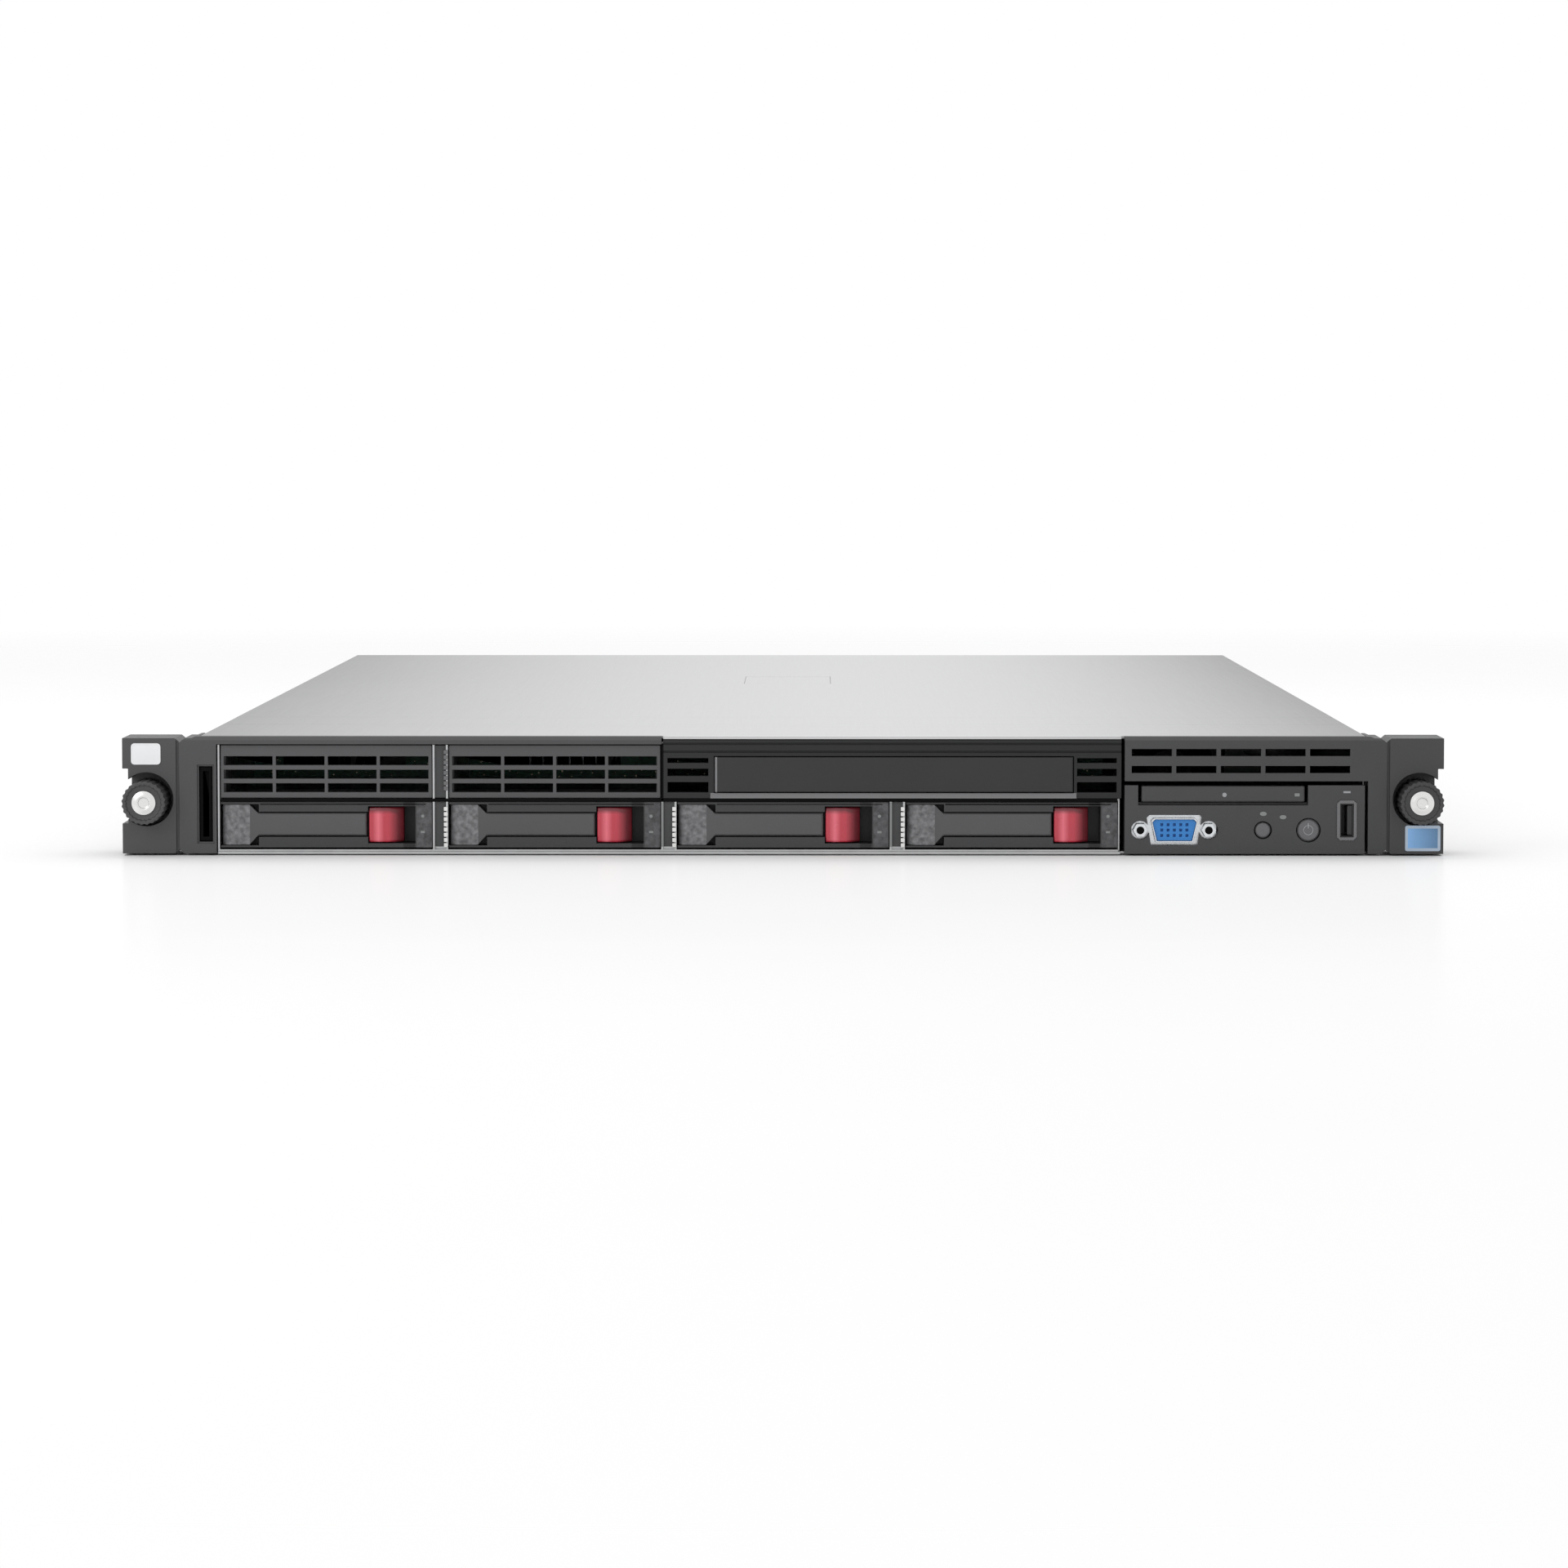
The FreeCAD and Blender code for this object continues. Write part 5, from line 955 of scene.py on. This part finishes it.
def cage_strips():
    """Strips of painted shade over the bright edges of the cage right of bays 2 and 3, and along the shelf.
    """
    front = low("drive_cage").y - 0.04 * MM
    wall = high("drive_carrier_2").x + 0.75 * MM
    width = 0.84 * MM
    middle, tall = bay_height()
    # Painted shade: grey strips over the bright wall edges of the bays.
    edge = plate((wall, front, middle), width, THIN, tall)
    cage_piece(edge, "bay_edge_2", "lens")
    further_piece(edge, (PITCH, 0, 0), "bay_edge_3", "lens")
    blank_tall = high("bay_blank_1").z - low("bay_blank_1").z
    # Painted shade: a near-black strip over the wall edge between the upper blanks.
    cover = plate((wall, front, centre("bay_blank_1").z), width, THIN, blank_tall + 1.6 * MM)
    cage_piece(cover, "blank_edge", "recess")
    left = low("drive_carrier_1").x
    right = high("drive_carrier_4").x
    under = high("drive_carrier_1").z
    above = low("bay_blank_1").z
    # Painted shade: a near-black strip over the shelf edge under the blanks.
    shelf = plate(
        ((left + right) / 2, front, (under + above) / 2), right - left, THIN, above - under - 0.3 * MM)
    cage_piece(shelf, "shelf_edge", "recess")


def painted_seam_shade():
    """Piece of painted shade behind the upper right corner of the connector panel, where light shows through
    the seam.
    """
    corner = high("io_panel") + Vector((0.1 * MM, 0, 0.9 * MM))
    backing = plate(
        (corner.x, low("chassis_tray").y - 0.2 * MM, corner.z), 1.2 * MM, 0.1 * MM, 1.8 * MM)
    finished(backing, "painted_seam_shade", "chassis", "recess", ())


class SERVER_OT_marks(PieceOperator):
    """Adds the plain marks and small lamps of the front"""

    bl_idname = "server.marks"
    bl_label = "Marks and Lamps"

    def execute(self, context):
        power_mark()
        panel = low("io_panel")
        for side, (across, up) in enumerate(((50.6, 14.7), (57.8, 13.5))):
            spot = panel + Vector((across * MM, 0, up * MM))
            mark = flat_disc((spot.x, FACE, spot.z), 0.95 * MM)
            edit(mark, lambda vertex: True, "VERT")
            bpy.ops.transform.resize(value=(1.3, 1, 0.8), center_override=(spot.x, FACE, spot.z))
            done()
            finished(mark, "locator_mark_%d" % (side + 1), "chassis", "lens", ())
        port = centre("front_usb_port")
        bar = plate((port.x, FACE, high("front_usb_port").z + 3.0 * MM), 2.6 * MM, THIN, 0.7 * MM)
        finished(bar, "data_port_mark", "chassis", "ink", ())
        tab = centre("status_display_tab")
        tab_face = low("status_display_tab").y
        tab_right = high("status_display_tab").x
        bar = plate((tab_right - 2.8 * MM, tab_face, tab.z - 0.3 * MM), 1.8 * MM, THIN, 1.1 * MM)
        finished(bar, "display_mark", BODY_OF["status_display_tab"], "lens", ())
        dot = flat_disc((tab.x + 0.5 * MM, tab_face, tab.z - 0.3 * MM), 0.8 * MM)
        finished(dot, "display_lamp", BODY_OF["status_display_tab"], "ink", ())
        for bay in BAYS:
            carrier_lamps(bay)
        return {"FINISHED"}


def flat_disc(middle, radius):
    """A thin printed disc on a front face."""
    return round_bar(middle, radius, THIN, 20)


def power_mark():
    """Ring and bar on the power button."""
    spot = centre("power_button")
    front = low("power_button").y
    clear_selection()
    bpy.ops.mesh.primitive_torus_add(
        location=(spot.x, front, spot.z), rotation=(math.pi / 2, 0, 0),
        major_radius=1.7 * MM, minor_radius=0.15 * MM, major_segments=32, minor_segments=6)
    ring = bpy.context.object
    bar = plate((spot.x, front, spot.z + 1.6 * MM), 0.36 * MM, 0.2 * MM, 1.9 * MM)
    only(ring)
    bar.select_set(True)
    bpy.ops.object.join()
    finished(ring, "power_mark", BODY_OF["power_button"], "ink", ())


def carrier_lamps(bay):
    """Two small lenses on the plain end of a carrier."""
    node = "drive_carrier_%d" % bay
    face = low(node).y
    across = high(node).x - 3.4 * MM
    upper = flat_disc((across, face, centre(node).z + 3.2 * MM), 0.6 * MM)
    lower = plate((across, face, centre(node).z - 2.6 * MM), 1.5 * MM, THIN, 0.8 * MM)
    only(upper)
    lower.select_set(True)
    bpy.ops.object.join()
    finished(upper, "carrier_lamps_%d" % bay, BODY_OF[node], "lens", ())


class SERVER_OT_plain_nodes(PieceOperator):
    """Gives every piece that stays as the frame has it its finish"""

    bl_idname = "server.plain_nodes"
    bl_label = "Inner Pieces"

    def execute(self, context):
        for node, thing in frame["nodes"].items():
            thing.data.materials.clear()
            thing.data.materials.append(finish_for(SLOT_OF[node]))
        return {"FINISHED"}


class SERVER_OT_stage(PieceOperator):
    """Sets up the floor, the lamps and the camera"""

    bl_idname = "server.stage"
    bl_label = "Stage"

    def execute(self, context):
        studio = context.scene.server_studio
        make_floor()
        make_sky(studio.sky)
        area_lamp("overhead", (0.1, 0.35, 1.4), (0.05, -0.1, 0), (2.4, 1.4), studio.overhead)
        area_lamp("front_fill", (-1.2, -1.7, 0.9), (-0.1, -0.35, 0.02), (1.2, 1.0), studio.front)
        make_camera(context, studio)
        context.scene.view_settings.view_transform = "Standard"
        return {"FINISHED"}


def make_floor():
    """A pale floor that keeps the object's shadow and fades into the white all round."""
    clear_selection()
    bpy.ops.mesh.primitive_plane_add(size=5.2, location=(0, 0, low("chassis_tray").z - 0.0004))
    floor = bpy.context.object
    settle(floor)
    floor.name = "floor"
    g = Graph("studio_floor")
    x, y, z = g.axes()
    away = g.node("ShaderNodeMath", {"operation": "SQRT"}, x * x + y * y)
    grain = g.noise(6, 2.0)
    base = g.blend(grain, (0.98, 0.98, 0.98), (1.0, 1.0, 1.0))
    matt = g.node("ShaderNodeBsdfPrincipled", None, Base_Color=base, Roughness=0.9, Specular_IOR_Level=0.0)
    shine = g.node("ShaderNodeBsdfPrincipled", None, Base_Color=(1, 1, 1), Metallic=1.0, Roughness=0.2)
    polished = g.node("ShaderNodeMixShader", None, 0.10, matt, shine)
    clear = g.node("ShaderNodeBsdfTransparent")
    faded = g.node("ShaderNodeMixShader", None, ((1.9 - away) / 1.2).kept(), clear, polished)
    g.tree.links.new(faded.socket, g.out.inputs["Surface"])
    floor.data.materials.append(g.material)


def make_sky(strength):
    """Even light; the camera, gloss and clear parts see it as white."""
    world = bpy.data.worlds.new("studio")
    bpy.context.scene.world = world
    world.use_nodes = True
    tree = world.node_tree
    tree.nodes.clear()
    rays = tree.nodes.new("ShaderNodeLightPath")
    seen = rays.outputs["Is Camera Ray"]
    for kind in ("Is Glossy Ray", "Is Transmission Ray"):
        either = tree.nodes.new("ShaderNodeMath")
        either.operation = "MAXIMUM"
        tree.links.new(seen, either.inputs[0])
        tree.links.new(rays.outputs[kind], either.inputs[1])
        seen = either.outputs[0]
    level = tree.nodes.new("ShaderNodeMapRange")
    level.inputs["To Min"].default_value = strength
    level.inputs["To Max"].default_value = 1.0
    tree.links.new(seen, level.inputs["Value"])
    glow = tree.nodes.new("ShaderNodeBackground")
    tree.links.new(level.outputs["Result"], glow.inputs["Strength"])
    glow.inputs["Color"].default_value = (1, 1, 1, 1)
    out = tree.nodes.new("ShaderNodeOutputWorld")
    tree.links.new(glow.outputs[0], out.inputs["Surface"])


def area_lamp(name, place, target, size, power):
    data = bpy.data.lights.new(name, "AREA")
    data.shape = "RECTANGLE"
    data.size, data.size_y = size
    data.energy = power
    lamp = bpy.data.objects.new(name, data)
    bpy.context.scene.collection.objects.link(lamp)
    lamp.location = place
    lamp.rotation_euler = (Vector(target) - Vector(place)).to_track_quat("-Z", "Y").to_euler()
    return lamp


def make_camera(context, studio):
    data = bpy.data.cameras.new("camera")
    data.lens = studio.lens
    data.sensor_width = 36
    data.clip_end = 30
    camera = bpy.data.objects.new("camera", data)
    context.scene.collection.objects.link(camera)
    camera.location = (studio.across, FACE - studio.distance, studio.height)
    camera.rotation_euler = (math.pi / 2 - studio.pitch, 0, studio.yaw)
    context.scene.camera = camera


class SERVER_PT_panel(bpy.types.Panel):
    """Lists the steps of the build"""

    bl_label = "Rack Server"
    bl_idname = "SERVER_PT_panel"
    bl_space_type = "VIEW_3D"
    bl_region_type = "UI"
    bl_category = "Rack Server"

    def draw(self, context):
        column = self.layout.column()
        for group in ("server_finish", "server_sizes", "server_studio"):
            settings = getattr(context.scene, group)
            for key in settings.__annotations__:
                column.prop(settings, key)
        for operator in STEPS:
            column.operator(operator.bl_idname)


STEPS = (
    SERVER_OT_plain_nodes,
    SERVER_OT_sheet_metal,
    SERVER_OT_mouldings,
    SERVER_OT_drives,
    SERVER_OT_thumbscrews,
    SERVER_OT_plates,
    SERVER_OT_connectors,
    SERVER_OT_springs,
    SERVER_OT_marks,
    SERVER_OT_stage,
)
CLASSES = (ServerFinish, ServerSizes, StudioSettings) + STEPS + (SERVER_PT_panel,)


def register():
    for cls in CLASSES:
        bpy.utils.register_class(cls)
    bpy.types.Scene.server_finish = PointerProperty(type=ServerFinish)
    bpy.types.Scene.server_sizes = PointerProperty(type=ServerSizes)
    bpy.types.Scene.server_studio = PointerProperty(type=StudioSettings)


def unregister():
    del bpy.types.Scene.server_studio
    del bpy.types.Scene.server_sizes
    del bpy.types.Scene.server_finish
    for cls in reversed(CLASSES):
        bpy.utils.unregister_class(cls)


def main():
    register()
    for operator in STEPS:
        group, name = operator.bl_idname.split(".")
        getattr(getattr(bpy.ops, group), name)()


if __name__ == "__main__":
    main()
